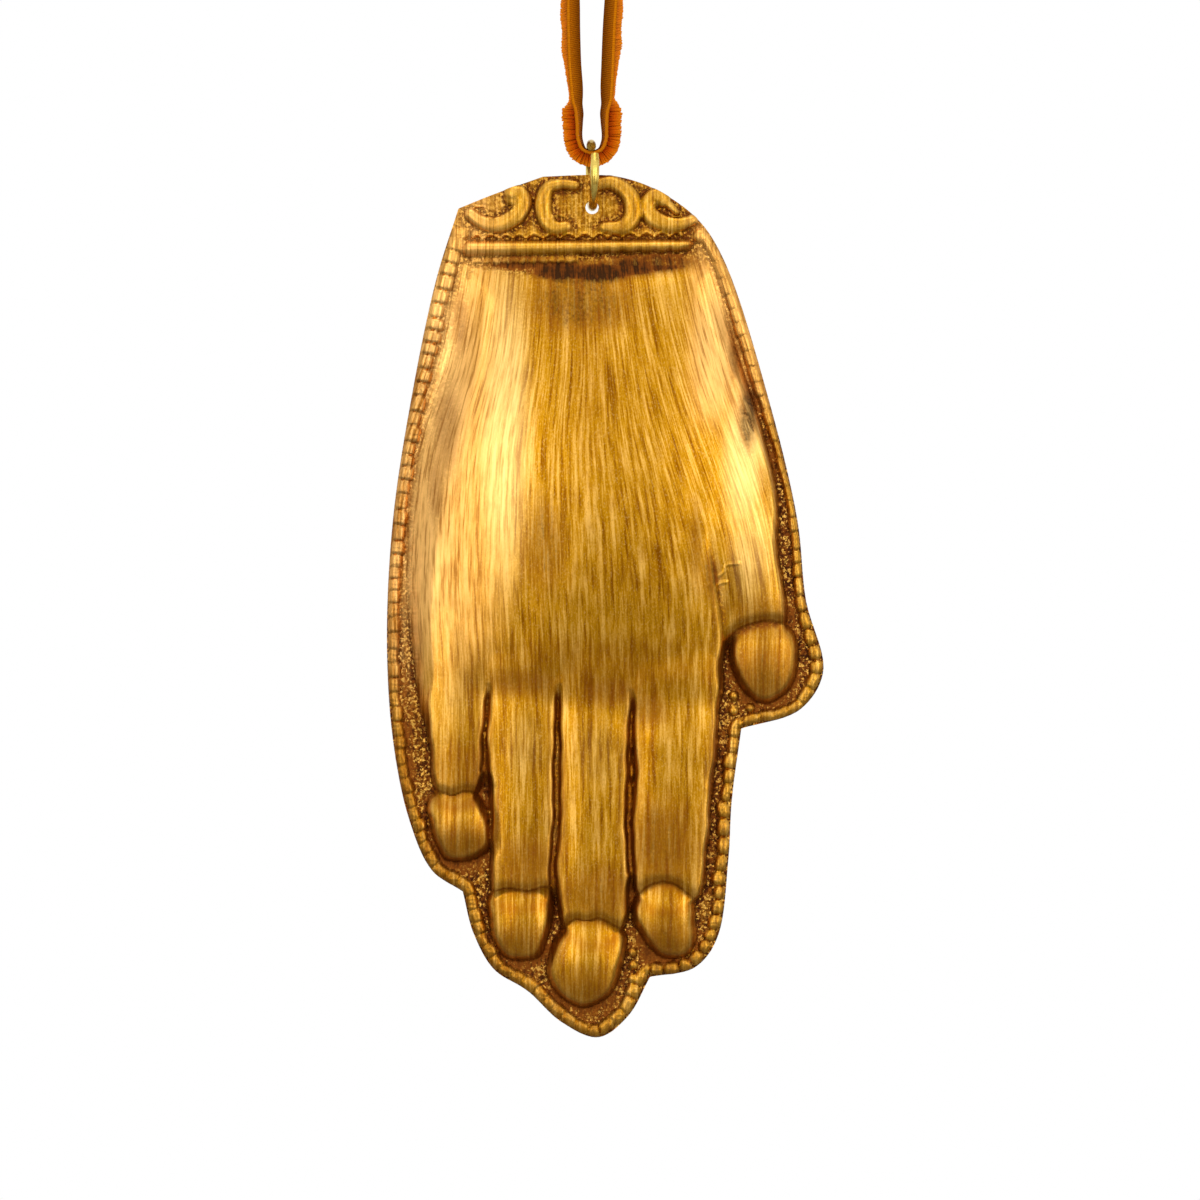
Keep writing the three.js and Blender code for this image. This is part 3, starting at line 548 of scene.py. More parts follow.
# Knobs at the ends of two scrolls, then loose beads past the ends of the border, with radii in millimetres
PEBBLES = [
    (-9, -2.6, 1.5), (7.3, -2.7, 1.5), (12.5, -7.1, 1.1), (16.4, -60.4, 0.75), (16.4, -62.1, 0.8),
    (18.3, -61.8, 0.75), (16.6, -63.7, 0.75), (4.7, -90.1, 0.75), (4.8, -91.6, 0.75), (4.7, -93.2, 0.8),
]
bar = chain(BAR, 1)
cusps = np.array(FRILL) * UNIT
scrolls = [chain(points, 28) for points in SCROLLS]
grooves = [chain(points, 16) for points in GROOVES]
roots = chain(ROOTS, 44)
lips = [chain(points, 16) for points in LIPS]
print(f"{len(scrolls)} scrolls, {len(cusps) - 1} arches in the frill, {len(grooves)} chased grooves")

# %% [markdown]
# ## Hand: measuring from a line
# Every form that is pressed into the sheet follows a drawn line, so its height depends on the distance to
# that line. One function finds the nearest place on a line for all points at once, and skips the points
# that are too far away to matter.


# %% Hand: measuring from a line
def nearest(line, points, within=1e9):
    """Distance from each point to a line, and how far along the line the nearest place is."""
    far, at = np.full(len(points), np.inf), np.zeros(len(points))
    low, high = line.min(0) - within, line.max(0) + within
    chosen = np.flatnonzero(((points > low) & (points < high)).all(1))
    x, z = points[chosen].T.copy()
    best, best_at, run = far[chosen], at[chosen], 0.0
    for (ax, az), (bx, bz) in zip(line[:-1], line[1:]):
        dx, dz = bx - ax, bz - az
        size = math.hypot(dx, dz)
        share = np.clip(((x - ax) * dx + (z - az) * dz) / max(size * size, 1e-12), 0, 1)
        off = np.hypot(x - ax - share * dx, z - az - share * dz)
        closer = off < best
        best[closer] = off[closer]
        best_at[closer] = run + share[closer] * size
        run += size
    far[chosen], at[chosen] = best, best_at
    return far, at


def is_inside(line, points):
    """Whether each point lies inside a closed line."""
    x, z = points.T
    odd = np.zeros(len(points), bool)
    for (ax, az), (bx, bz) in zip(line[:-1], line[1:]):
        if az != bz:
            odd ^= ((az > z) != (bz > z)) & (x < ax + (z - az) / (bz - az) * (bx - ax))
    return odd


def depth(line, points, within=1e9):
    """How deep each point lies inside a closed line, negative outside it."""
    far = nearest(line, points, within)[0]
    return np.where(is_inside(line, points), far, -far)


print(f"the middle of the hole lies {depth(outline, np.array([[0, HOLE_DOWN]]))[0]:.1f} mm in from the cut edge")

# %% [markdown]
# ## Hand: the blank
# The tinsmith starts with a flat piece of tin. A flat grid is cut to the outline, its ragged rim is drawn out
# to the line, and Solidify makes it a sheet. A filled outline would have long thin faces that can't be
# pressed into a relief, and the even cells of a grid can.

# %% Hand: the blank
CELL = 0.6


def as_drawn(points):
    """Places of the sheet as drawn: across from the hole and down from the top edge, in millimetres."""
    return points[:, [0, 2]] / MM - [0, TOP]


def face_middles(piece):
    """Middles and normals of all the faces of a piece."""
    count = len(piece.data.polygons)
    middles, normals = np.empty(3 * count), np.empty(3 * count)
    piece.data.polygons.foreach_get("center", middles)
    piece.data.polygons.foreach_get("normal", normals)
    return middles.reshape(-1, 3), normals.reshape(-1, 3)


def pick_faces(piece, wanted):
    """Goes into edit mode with just these faces selected."""
    bpy.ops.object.mode_set(mode="EDIT")
    bpy.ops.mesh.select_mode(type="FACE")
    bpy.ops.mesh.select_all(action="DESELECT")
    cage = bmesh.from_edit_mesh(piece.data)
    for face, chosen in zip(cage.faces, wanted.tolist()):
        face.select_set(chosen)
    bmesh.update_edit_mesh(piece.data)


def draw_rim_to_line(piece, rim):
    """Moves the rim's points to the nearest place on the outline or on the hole."""
    points = places(piece)
    seen = as_drawn(points)[rim]
    best = np.full(len(seen), np.inf)
    target = seen.copy()
    for line in (outline, hole):
        far, at = nearest(line, seen)
        run = np.concatenate([[0], np.cumsum(np.hypot(*np.diff(line, axis=0).T))])
        on_line = np.column_stack([np.interp(at, run, line[:, k]) for k in range(2)])
        target[far < best] = on_line[far < best]
        best = np.minimum(best, far)
    points[rim, 0] = target[:, 0] * MM
    points[rim, 2] = (target[:, 1] + TOP) * MM
    set_places(piece, points)


low, high = outline.min(0) - CELL, outline.max(0) + CELL
columns, rows = (math.ceil(v / CELL) for v in high - low)
bpy.ops.mesh.primitive_grid_add(x_subdivisions=columns, y_subdivisions=rows, size=1)
pressed_hand = bpy.context.object
pressed_hand.name = "pressed_hand"
pressed_hand.scale = (columns * CELL * MM, rows * CELL * MM, 1)
pressed_hand.rotation_euler = (math.pi / 2, 0, 0)
pressed_hand.location = ((low[0] + high[0]) / 2 * MM, -SHEET / 2 * MM, ((low[1] + high[1]) / 2 + TOP) * MM)
bpy.ops.object.transform_apply(location=True, rotation=True, scale=True)
middles = as_drawn(face_middles(pressed_hand)[0])
pick_faces(pressed_hand, ~is_inside(outline, middles) | is_inside(hole, middles))
bpy.ops.mesh.delete(type="FACE")
bpy.ops.mesh.select_mode(type="EDGE")
bpy.ops.mesh.select_non_manifold(extend=False)
bpy.ops.object.mode_set(mode="OBJECT")
rim = np.array([v.select for v in pressed_hand.data.vertices])
draw_rim_to_line(pressed_hand, rim)
wall = pressed_hand.modifiers.new("wall", "SOLIDIFY")
wall.thickness = SHEET * MM
wall.offset = -1
bpy.ops.object.modifier_apply(modifier=wall.name)
print(f"blank: {len(pressed_hand.data.polygons)} faces, {rim.sum()} points on its rim")

# %% [markdown]
# ## Hand: finer cells where the relief is fine
# Beads, scrolls, nails and grooves need cells of a fifth of a millimetre, and a smooth palm does not. So only
# the front is subdivided, and only near those lines. The new points on the rim then go to the outline too.

# %% Hand: finer cells where the relief is fine
FINE_EDGE, FINE_CUFF = 3.1, -14.5  # from the cut edge inwards, and down from the top
FINE_FINGER, FINE_PALM, FINE_GROOVE, FINE_NAIL = 1.2, 1.7, 1.6, 1.5  # to both sides of their lines
middles, normals = face_middles(pressed_hand)
is_front = normals[:, 1] < -0.5
middles = as_drawn(middles)
is_fine = (nearest(outline, middles, 4)[0] < FINE_EDGE) | (middles[:, 1] > FINE_CUFF)
is_fine |= (nearest(palm, middles, 3)[0] < FINE_PALM) & ((middles[:, 0] > 0) | (middles[:, 1] < -60))
for lines, reach in ((fingers[:4], FINE_FINGER), (grooves, FINE_GROOVE), (nails + lips, FINE_NAIL)):
    for line in lines:
        is_fine |= nearest(line, middles, 3)[0] < reach
pick_faces(pressed_hand, is_front & is_fine)
bpy.ops.mesh.subdivide(number_cuts=2, ngon=False)
bpy.ops.object.mode_set(mode="OBJECT")
_, normals = face_middles(pressed_hand)
rim = np.zeros(len(pressed_hand.data.vertices), bool)
for face, normal in zip(pressed_hand.data.polygons, normals):
    if abs(normal[1]) < 0.5:
        rim[list(face.vertices)] = True
draw_rim_to_line(pressed_hand, rim)
print(f"sheet: {len(pressed_hand.data.polygons)} faces after the finer cells")

# %% [markdown]
# ## Hand: the border of beads
# A row of punched beads runs just inside the cut edge. The punch was struck by eye, so the beads differ in
# pitch and depth: in places they are round and separate, in others they run together into a roll. The table
# gives the width of the row and how distinct its beads are, at places down the right side and up the left.

# %% Hand: the border of beads
BORDER = np.array([
    (14, -8, 2, 0.2), (17, -15, 2.2, 0.3), (19, -22, 2.1, 0.45), (21.3, -29, 1.6, 0.5), (23.4, -38, 1.2, 0.35),
    (24.3, -46, 1.7, 0.8), (26, -55, 2.1, 1), (26.5, -60, 2, 0.7), (21, -63.3, 1.8, 0.35), (17, -66, 2.1, 0.9),
    (16, -78, 2.1, 1), (14.5, -88.5, 2.2, 1), (10, -92.6, 2.1, 1), (5, -96, 2.2, 0.8), (0.7, -100, 2.2, 0.7),
    (-6, -96.3, 2.1, 0.5), (-11.4, -92.1, 2.1, 0.6), (-14.5, -85, 2.1, 0.5), (-18.6, -80.6, 2, 0.6),
    (-22.3, -70, 2, 0.45), (-23.8, -54, 2, 0.5), (-23.1, -40, 2.1, 0.65), (-21.5, -29, 2.3, 0.7),
    (-19.5, -19, 2.7, 0.85), (-17.5, -10, 2.8, 0.75), (-16.3, -6.6, 2.4, 0.3),
])
BEAD_HEIGHT = 0.75
BEAD_PITCH = (2.35, 2.1)  # right and left
BEAD_START = -6.6  # hundredths down from the top, on both sides
EDGE_LEFT = 0.1  # flat tin outside the beads
border_at = nearest(outline, BORDER[:, :2] * UNIT)[1]
fingertip_at = nearest(outline, np.array([[0.7, -100]]) * UNIT)[1][0]
bead_edges = [border_at[0]]
while bead_edges[-1] < border_at[-1]:
    pitch = BEAD_PITCH[0] if bead_edges[-1] < fingertip_at else BEAD_PITCH[1]
    bead_edges.append(bead_edges[-1] + pitch * chance.uniform(0.82, 1.18))
bead_edges = np.array(bead_edges)
bead_sizes = chance.uniform(0.82, 1.08, len(bead_edges))


def fade(start, end, value):
    """A smooth step from 0 at start to 1 at end, which are in hundredths."""
    return ramp(start * UNIT, end * UNIT, value)


def border_height(points):
    """Height of the beaded border."""
    far, at = nearest(outline, points, 4)
    distinct = np.interp(at, border_at, BORDER[:, 3])
    bead = np.searchsorted(bead_edges, at).clip(1, len(bead_edges) - 1)
    width = np.interp(at, border_at, BORDER[:, 2]) * bead_sizes[bead]
    middle = (bead_edges[bead] + bead_edges[bead - 1]) / 2
    along = np.abs(at - middle) * 2 / (bead_edges[bead] - bead_edges[bead - 1])
    across = np.abs((far - EDGE_LEFT) * 2 / (width - EDGE_LEFT) - 1).clip(0, 1) ** 2.5
    roll = (1 - across) ** 0.8
    square = 5 - 2.6 * ramp(0.7, 1, distinct)  # a distinct bead is rounder
    round_bead = np.clip(1 - across - along.clip(0, 1) ** square, 0, 1) ** 0.55
    started = fade(BEAD_START + 1, BEAD_START - 1, points[:, 1])
    return BEAD_HEIGHT * started * bead_sizes[bead] * (roll + 0.85 * distinct * (round_bead - roll))


print(f"border: {len(bead_edges) - 1} beads along {border_at[-1] - border_at[0]:.0f} mm")

# %% [markdown]
# ## Hand: palm, thumb and fingers
# The relief is the same as in the solids, as one sum of simple forms: an edge that steps up from the ground,
# a crowned palm, fingers that run into it, and chased grooves between them. A sum gives every point its
# height at once, and it can be changed by a number, which a sculpted mesh can't.

# %% Hand: palm, thumb and fingers
HAND_EDGE = 1.9  # step up from the ground, which runs out above the palm
FINGER_SHOULDER = 0.8
# Width of the step up to the palm, at places down its left and its right side: soft above, crisp below
STEP_LEFT = [(5.5, -9), (5.1, -32.5), (3.5, -46), (2.4, -60), (1.2, -67)]
STEP_RIGHT = [(5.5, -9), (2.6, -17), (1, -26), (0.9, -67)]
SOFT_STEPS, SOFT_START = (1.5, 6), 0.25  # a wide step starts outside its line, with no crease at its foot
PALM_CROWN, PALM_TOP, PALM_FOOT, PALM_ROUND = 4.2, -10.8, -64.5, 0.8
FINGER_CROWN, FINGER_SPREAD, FINGER_ARCH, ROOT_ARCH = 1.1, 4.4, 0.45, 0.3
BLEND = 1.6  # height over which the palm and the fingers run into each other
GROOVE_DEPTH, GROOVE_WIDTH, GROOVE_RUN = 1.3, 0.34, 4
THUMB_SLOPE, THUMB_RUN, THUMB_SHALLOW = 3, 12, 0.35
GAP_FLOOR, GAP_WIDTH = 1.7, 1.6  # between the fingers
GAP_SQUEEZE, SQUEEZE_WIDTH = 0.28, 1.5  # how far the sides of a gap lean in over it
ROOT_DEPTH, ROOT_WIDTH = 0.25, 3
step_left, step_right = chain(STEP_LEFT, 20), chain(STEP_RIGHT, 20)


def pad(inside, shoulder):
    """0 at the edge of a form, rounding up to 1 over the width of its shoulder."""
    return 1 - (1 - np.clip(inside / shoulder, 0, 1)) ** 2


def ridge(away, width, power=1.2):
    """1 on the middle line of a ridge, falling to 0 at its sides."""
    return (1 - np.clip(np.abs(2 * away) / width, 0, 1) ** 2) ** power


def bell(away, width):
    """1 on a line, falling smoothly towards 0 on both sides of it."""
    return np.exp(-((away / width) ** 2))


def across_at(line, z):
    """Across of a line that runs down, at height z."""
    return np.interp(-z, -line[:, 1], line[:, 0])


def hand_height(points):
    """Height of the palm, thumb and fingers."""
    x, z = points.T
    left = across_at(palm_left, z)
    share = np.clip((x - left) / (across_at(palm_right, z) - left), 0, 1)
    width = across_at(step_left, z) * (1 - share) + across_at(step_right, z) * share
    soft = ramp(*SOFT_STEPS, width)
    inside = depth(palm, points) + SOFT_START * soft * width
    edge = pad(inside, width) * (1 - soft) + ramp(0, width, inside) * soft
    gaps = [nearest(groove, points, 4)[0] for groove in grooves[1:]]
    squeeze = GAP_SQUEEZE * bell(np.min(gaps, axis=0), SQUEEZE_WIDTH)
    insides = [depth(line, points, 6) + squeeze for line in fingers]
    edge = np.max([edge] + [pad(inside, FINGER_SHOULDER) for inside in insides[:4]], axis=0)
    down = np.clip((z / UNIT - PALM_TOP) / (PALM_FOOT - PALM_TOP), 0, 1)
    arch = np.sin(math.pi * down).clip(0) ** (1.2 - 0.4 * ramp(0, 0.35, down) + 0.25 * ramp(0.5, 0.9, down))
    crown = PALM_CROWN * (4 * share * (1 - share)) ** PALM_ROUND * arch
    for finger, inside in zip(fingers, insides):
        foot, root = finger[:, 1].min(), finger[:, 1].max()
        arch = np.minimum(1, ((2 * z - root - foot) / (root - foot)) ** 2)
        arch = arch * np.where(2 * z > root + foot, ROOT_ARCH, 1)
        raised = FINGER_CROWN * (1 - FINGER_ARCH * arch) * pad(inside, FINGER_SPREAD)
        crown = np.maximum(crown, raised) + np.maximum(0, BLEND - np.abs(crown - raised)) ** 2 / (4 * BLEND)
    chased = np.zeros(len(points))
    for k, groove in enumerate(grooves):
        width = np.where((k == 0) & (x > across_at(groove, z)), THUMB_SLOPE, GROOVE_WIDTH)
        started = ramp(groove[0, 1] + 1, groove[0, 1] - (THUMB_RUN if k == 0 else GROOVE_RUN), z)
        deep = THUMB_SHALLOW + (1 - THUMB_SHALLOW) * fade(-52, -57, z) if k == 0 else 1
        chased = np.maximum(chased, started * deep * bell(nearest(groove, points, 9)[0], width))
    valley = ROOT_DEPTH * bell(nearest(roots, points, 8)[0], ROOT_WIDTH)
    step = HAND_EDGE * (0.1 + 0.9 * fade(-12, -36, z))
    height = edge * np.maximum(0, step + crown - valley - GROOVE_DEPTH * chased)
    for gap in gaps:
        height = np.maximum(height, GAP_FLOOR * bell(gap, GAP_WIDTH))
    return height


print(f"palm: {hand_height(np.array([[0, -38]]) * UNIT)[0]:.1f} mm high at its middle")

# %% [markdown]
# ## Hand: nails, cuff and marks of handwork
# Nails, bar and scrolls stand on top of the hand, as in the solids. The rest is left for this finer mesh: a
# frilled lip over the bar, a strip that tore under it, thin lips, loose beads, lines that stray a little,
# and a ground that no tool smoothed. Sums of sines are uneven enough for such small marks.

# %% Hand: nails, cuff and marks of handwork
NAIL_HEIGHTS, NAIL_MOATS = (3, 2.9, 3.2, 3, 3), (0.4, 0.25, 0.4, 0.4, 0.5)
NAIL_SHOULDER, NAIL_FOOT, NAIL_RIM, MOAT_WIDTH = 1.2, 0.85, 0.62, 0.8
BAR_HEIGHT, BAR_WIDTHS, BAR_NOTCH = 1.1, (2.7, 2.1), 0.3  # widths at the left and the right end
SCROLL_HEIGHT, PEBBLE_HEIGHT = 0.9, 0.7
LIP_HEIGHTS, LIP_WIDTH = (0.3, 0.3, 0.16, 0.16, 0.16), 0.5
FRILL_START, FRILL_RISE, FRILL_HEIGHT, FRILL_WIDTH = 1.15, 0.65, 0.5, 0.6
TORN_HEIGHT, TORN_DOWN, TORN_END = 0.35, 2.3, -2
STRAY = 0.1  # how far the tools strayed from their lines
ROUGH = 0.07  # grain of the ground, which no tool smoothed


def bar_at(x):
    """Height of the middle of the bar on the sheet."""
    return np.interp(x, bar[:, 0], bar[:, 1])


def frill_wave(x):
    """0 at the cusps of the frill and 1 at the tops of its arches."""
    arch = np.searchsorted(cusps, x).clip(1, len(cusps) - 1)
    return np.sin(math.pi * np.clip((x - cusps[arch - 1]) / (cusps[arch] - cusps[arch - 1]), 0, 1))


def frill_height(points):
    """Height of the frilled lip over the bar and of the torn strip under its left half."""
    x, z = points.T
    above_bar = z - bar_at(x)
    beyond = above_bar - FRILL_START - FRILL_RISE * frill_wave(x)
    ledge = 0.5 * ramp(0, 0.3, beyond) * ramp(2, 0.5, beyond)
    lip = FRILL_HEIGHT * np.maximum(ridge(beyond - 0.25, FRILL_WIDTH, 0.8), ledge)
    ragged = 0.15 * np.sin(5.3 * x) * np.sin(1.7 * x) + 0.1 * np.sin(11 * x)
    torn = TORN_HEIGHT * pad(above_bar + TORN_DOWN + ragged, 0.3) * (above_bar < 0) * (x < TORN_END)
    torn = torn * (1 - 0.5 * (np.sin(6.1 * x + 3 * z) * np.sin(2.3 * x + 1)) ** 2)
    return (lip + torn) * (x > cusps[0]) * (x < cusps[-1])


def form(points):
    """Height of the pressed form above the ground of the sheet, in millimetres."""
    x, z = points.T
    stray = np.column_stack([np.sin(0.53 * z + 0.31 * x), np.sin(0.61 * x - 0.27 * z)])
    stray += 0.6 * np.column_stack([np.sin(1.27 * z - 0.74 * x + 1), np.sin(1.13 * x + 0.86 * z + 2)])
    points = points + STRAY * stray * fade(-52, -60, z)[:, None]
    height = hand_height(points)
    for nail, tall, moat in zip(nails, NAIL_HEIGHTS, NAIL_MOATS):
        inside = depth(nail, points, 6)
        middle, half = (nail.max(0) + nail.min(0)) / 2, np.ptp(nail, axis=0) / 2
        dome = np.clip(1 - (((points - middle) / half) ** 2).sum(1), 0, 1)
        around = np.maximum(0, height - moat * bell(inside, MOAT_WIDTH))
        foot = NAIL_FOOT * around
        own = foot + (tall * (NAIL_RIM + (1 - NAIL_RIM) * dome) - foot) * pad(inside, NAIL_SHOULDER)
        height = np.where(inside > 0, own, around)
    height = np.maximum(np.maximum(height, border_height(points)), frill_height(points))
    notches = BAR_NOTCH * (1 - frill_wave(x)) * (x > 0) * (z < bar_at(x))
    bar_width = np.interp(x, bar[:, 0], BAR_WIDTHS)
    height = np.maximum(height, BAR_HEIGHT * ridge(nearest(bar, points, 4)[0] + notches, bar_width, 0.9))
    for scroll, widths in zip(scrolls, SCROLL_WIDTHS):
        far, at = nearest(scroll, points, 3)
        width = np.interp(at, np.linspace(0, at.max(), len(widths)), widths)
        height = np.maximum(height, SCROLL_HEIGHT * ridge(far, width, 0.4))
    for across_bead, down_bead, radius in PEBBLES:
        away = np.hypot(x - across_bead * UNIT, z - down_bead * UNIT) / radius
        height = np.maximum(height, PEBBLE_HEIGHT * np.sqrt(np.clip(1 - away**2, 0, 1)))
    lip = np.zeros(len(points))
    for line, tall in zip(lips, LIP_HEIGHTS):
        lip = np.maximum(lip, tall * ridge(nearest(line, points, 2)[0], LIP_WIDTH))
    uneven = 0.03 * np.sin(0.33 * x + 0.21 * z) * np.sin(0.37 * z - 0.3 * x + 1)
    uneven += 0.02 * np.sin(0.9 * x + 0.5 * z) * np.sin(0.8 * z - 0.6 * x + 2)
    rough = np.sin(8.3 * x + 3.1 * z + 2 * np.sin(1.9 * z)) * np.sin(9.1 * z - 4.3 * x + 2 * np.sin(2.3 * x))
    rough = ROUGH * rough * ramp(1.9, 0.6, height) * fade(-12, -24, z)
    return height + lip + uneven + rough


# %% [markdown]
# ## Hand: pressing the sheet
# Front and back move together by the height of the form, as tin does between punch and lead block, so the
# back of the sheet is the hollow of its front.

# %% Hand: pressing the sheet
points = places(pressed_hand)
seen = as_drawn(points)
seen_x, seen_z = seen.T
is_front = points[:, 1] < 0
height = form(seen)
points[:, 1] -= height * MM
set_places(pressed_hand, points)
print(f"pressed {height.max():.1f} mm high")

# %% [markdown]
# ## Hand: hollows, and painted light on two slopes
# The hollows that keep the dark glaze are found as the painter's rag finds them: a place is low if the relief
# round it, blurred over half a millimetre, stands higher than the place itself. The same blur over a wider
# reach gives the brown that the rag smeared. Two slopes of the palm carry painted light, with less glaze there.

# %% Hand: hollows, and painted light on two slopes
RASTER = 0.2
RAG, SMEAR = 0.55, 1.3  # reach of the rag and of the brown that it smears, in millimetres
HOLLOW_DIP = 0.13  # how deep a dip has to be to keep its glaze whole
LOW_START, LOW_DIP = 0.08, 0.15  # fingers and nails keep it only at the bottom of a gap: how much deeper
GROUND_HEIGHTS = (0.45, 0.1)
# The last two: how much glaze the painted light on two slopes takes away from their ground and their hollows
CUFF_DOWN, CUFF_GROUND, LIT_SLOPE_GROUND, LIT_SLOPE_HOLLOW = -13.5, 0.4, 0.92, 0.4


def blurred(raster, reach):
    """A raster of heights blurred over a reach given in its cells."""
    span = np.arange(-math.ceil(3 * reach), math.ceil(3 * reach) + 1)
    weights = np.exp(-0.5 * (span / reach) ** 2)
    weights /= weights.sum()
    for axis in (0, 1):
        raster = np.apply_along_axis(lambda row: np.convolve(row, weights, "same"), axis, raster)
    return raster


def sample(raster, points):
    """Values of a raster between its cells."""
    place = ((points - low) / RASTER).clip(0, np.array(raster.shape) - 1.001)
    i, k = place.astype(int).T
    a, b = (place - place.astype(int)).T
    top = raster[i, k] * (1 - a) + raster[i + 1, k] * a
    bottom = raster[i, k + 1] * (1 - a) + raster[i + 1, k + 1] * a
    return top * (1 - b) + bottom * b


raster_x, raster_z = (np.arange(low[k], high[k], RASTER) for k in (0, 1))
raster_points = np.stack(np.meshgrid(raster_x, raster_z, indexing="ij"), axis=-1).reshape(-1, 2)
raster = np.where(is_inside(outline, raster_points), form(raster_points), 0).reshape(len(raster_x), -1)
dip, wide_dip = (sample(blurred(raster, reach / RASTER) - raster, seen) for reach in (RAG, SMEAR))
# Painted light: the left slope of the palm and a patch at its upper right lose most of their glaze here, and the
# finish paints them a paler orange
lit_slope = fade(-8, -15, seen_x) * fade(-66, -44, seen_z) + fade(10, 13, seen_x) * fade(-32, -24, seen_z)
low_hand = fade(-56, -62, seen_z)
hollow = np.clip((dip - LOW_START * low_hand) / (HOLLOW_DIP + LOW_DIP * low_hand), 0, 1)
hollow = hollow * (1 - LIT_SLOPE_HOLLOW * lit_slope)
ground = ramp(*GROUND_HEIGHTS, height) * np.where(seen_z > CUFF_DOWN, CUFF_GROUND, 1 - LIT_SLOPE_GROUND * lit_slope)
print(f"glaze is left on {ground.mean():.0%} of the points as ground and on {hollow.mean():.0%} as hollows")

# %% [markdown]
# ## Hand: stains, smears, painted highlights and painted shade
# Stains and painted highlights have no form of their own, so they are listed by where they lie, as soft spots.
# Brown smears lie round the fingers and nails and along the cut edge. Low on the palm the brown is painted
# shade, and the stains low on the fingers and on the nails are partly painted shade. All of it is kept as
# numbers on the points, which an export carries along and which need no picture.

# %% Hand: stains, smears, painted highlights and painted shade
# Stains in the glaze by centre, half width and half height in hundredths, and strength. The spots low on the fingers
# and on the nails are also painted shade, where their lower ends slope down.
STAINS_AND_SHADE = [
    (-3.6, -11.3, 4.2, 2, 0.95), (0.8, -11.5, 5, 2, 0.95), (4.6, -10.8, 4.5, 1.7, 0.85),
    (-1.5, -14.6, 8.5, 5.5, 0.78), (8, -10.4, 6, 1.6, 0.75), (-8, -10.3, 6, 1, 0.7),
    (-5.4, -43, 3.2, 7.5, 0.66), (0, -24, 3.5, 13, 0.3), (11.9, -43.5, 1.1, 6.5, 0.6),
    (13.6, -46.5, 1.4, 4, 0.7), (-15.3, -17, 1.2, 4.8, 0.65), (-16.7, -29.5, 1.9, 6.8, 0.62),
    (-18, -36.5, 1.2, 5, 0.6), (18, -28, 1.5, 5, 0.95), (16.4, -21.5, 1, 3.5, 0.7), (20.6, -34, 0.9, 5, 0.5),
    (-8, -58.9, 5, 2.2, 0.6), (2, -60, 4.5, 2.2, 0.55), (6.5, -62, 3.5, 2.6, 0.55), (-15.5, -69, 5, 5, 0.5),
    (-7.4, -79.8, 4.5, 4.5, 0.6), (0.8, -83, 5, 4.5, 0.58), (8, -77.5, 5, 7, 0.65), (20, -50.6, 5, 2.6, 0.55),
    (-21.7, -67.8, 1.8, 14, 0.4), (-15.4, -78, 5, 4, 0.65), (-8.3, -89.5, 5, 4, 0.55),
    (-0.5, -95, 6, 4.5, 0.55), (8.5, -89, 5, 4, 0.6), (20, -58, 5, 5.5, 0.65), (-15.4, -72.5, 5, 1.6, 0.5),
    (20, -53, 5, 2, 0.5),
]
# Painted highlights, where light falls on both sides of the palm, on the finger roots and down the left side, in the
# same way
PAINTED_HIGHLIGHTS = [
    (-10.1, -29.6, 3.2, 20, 1), (14.2, -20.3, 2.6, 9, 0.8), (17.4, -33, 2.6, 10, 1), (18.3, -43, 2.8, 7, 0.55),
    (-16, -56, 2.2, 12, 0.1), (-8, -66, 2.4, 4, 0.15), (0.5, -67, 2.8, 4, 0.1),
    (-18, -24, 5, 16, 1), (-20.5, -40, 4.5, 18, 1), (-21.5, -53, 3, 9, 0.8),
]
# Painted shade on the lower palm, where it slopes down to the fingers: centre, half width and half height in
# hundredths, and strength
LOW_PALM_SHADE = (0.5, -57.5, 17, 5, 0.6)
SPOT_RIM, SPOT_CORE = 1.25, 0.3  # where a spot starts and where it is whole, as shares of its half size
SMEAR_DIP, LINE_SMEAR, SMEAR_WIDTH, STAIN_SMEAR = 0.4, 0.9, 1.1, 0.7
EDGE_TARNISH, TARNISH_REACH = (0.8, 0.35), (3.4, 1.8)  # left and right, and from where to where off the edge
RUB_DIP, RUB_AND_HIGHLIGHT = 0.16, 0.4


def how_far(spot):
    """How far each point lies from the centre of a spot, as a share of its half width and half height."""
    return np.hypot((seen_x / UNIT - spot[0]) / spot[2], (seen_z / UNIT - spot[1]) / spot[3])


stain, worn = (
    np.max([spot[4] * ramp(SPOT_RIM, SPOT_CORE, how_far(spot)) for spot in spots], axis=0)
    for spots in (STAINS_AND_SHADE, PAINTED_HIGHLIGHTS)
)
smear = np.clip(wide_dip / SMEAR_DIP, 0, 1) * (1 - lit_slope.clip(0, 1))
for lines, whole in ((fingers[:4], fade(-60, -65, seen_z)), (nails, 1)):
    for line in lines:
        smear = np.maximum(smear, LINE_SMEAR * whole * bell(nearest(line, seen, 3)[0], SMEAR_WIDTH))
# Painted shade: a brown spot on the lower palm, and the stains low on the fingers
smear = np.maximum(smear, LOW_PALM_SHADE[4] * ramp(1.2, 0.3, how_far(LOW_PALM_SHADE)))
smear = np.maximum(smear, STAIN_SMEAR * stain * fade(-52, -56, seen_z))
tarnish = ramp(*TARNISH_REACH, nearest(outline, seen, 4)[0]) * fade(-12, -24, seen_z)
smear = np.maximum(smear, tarnish * np.where(seen_x < 0, *EDGE_TARNISH))
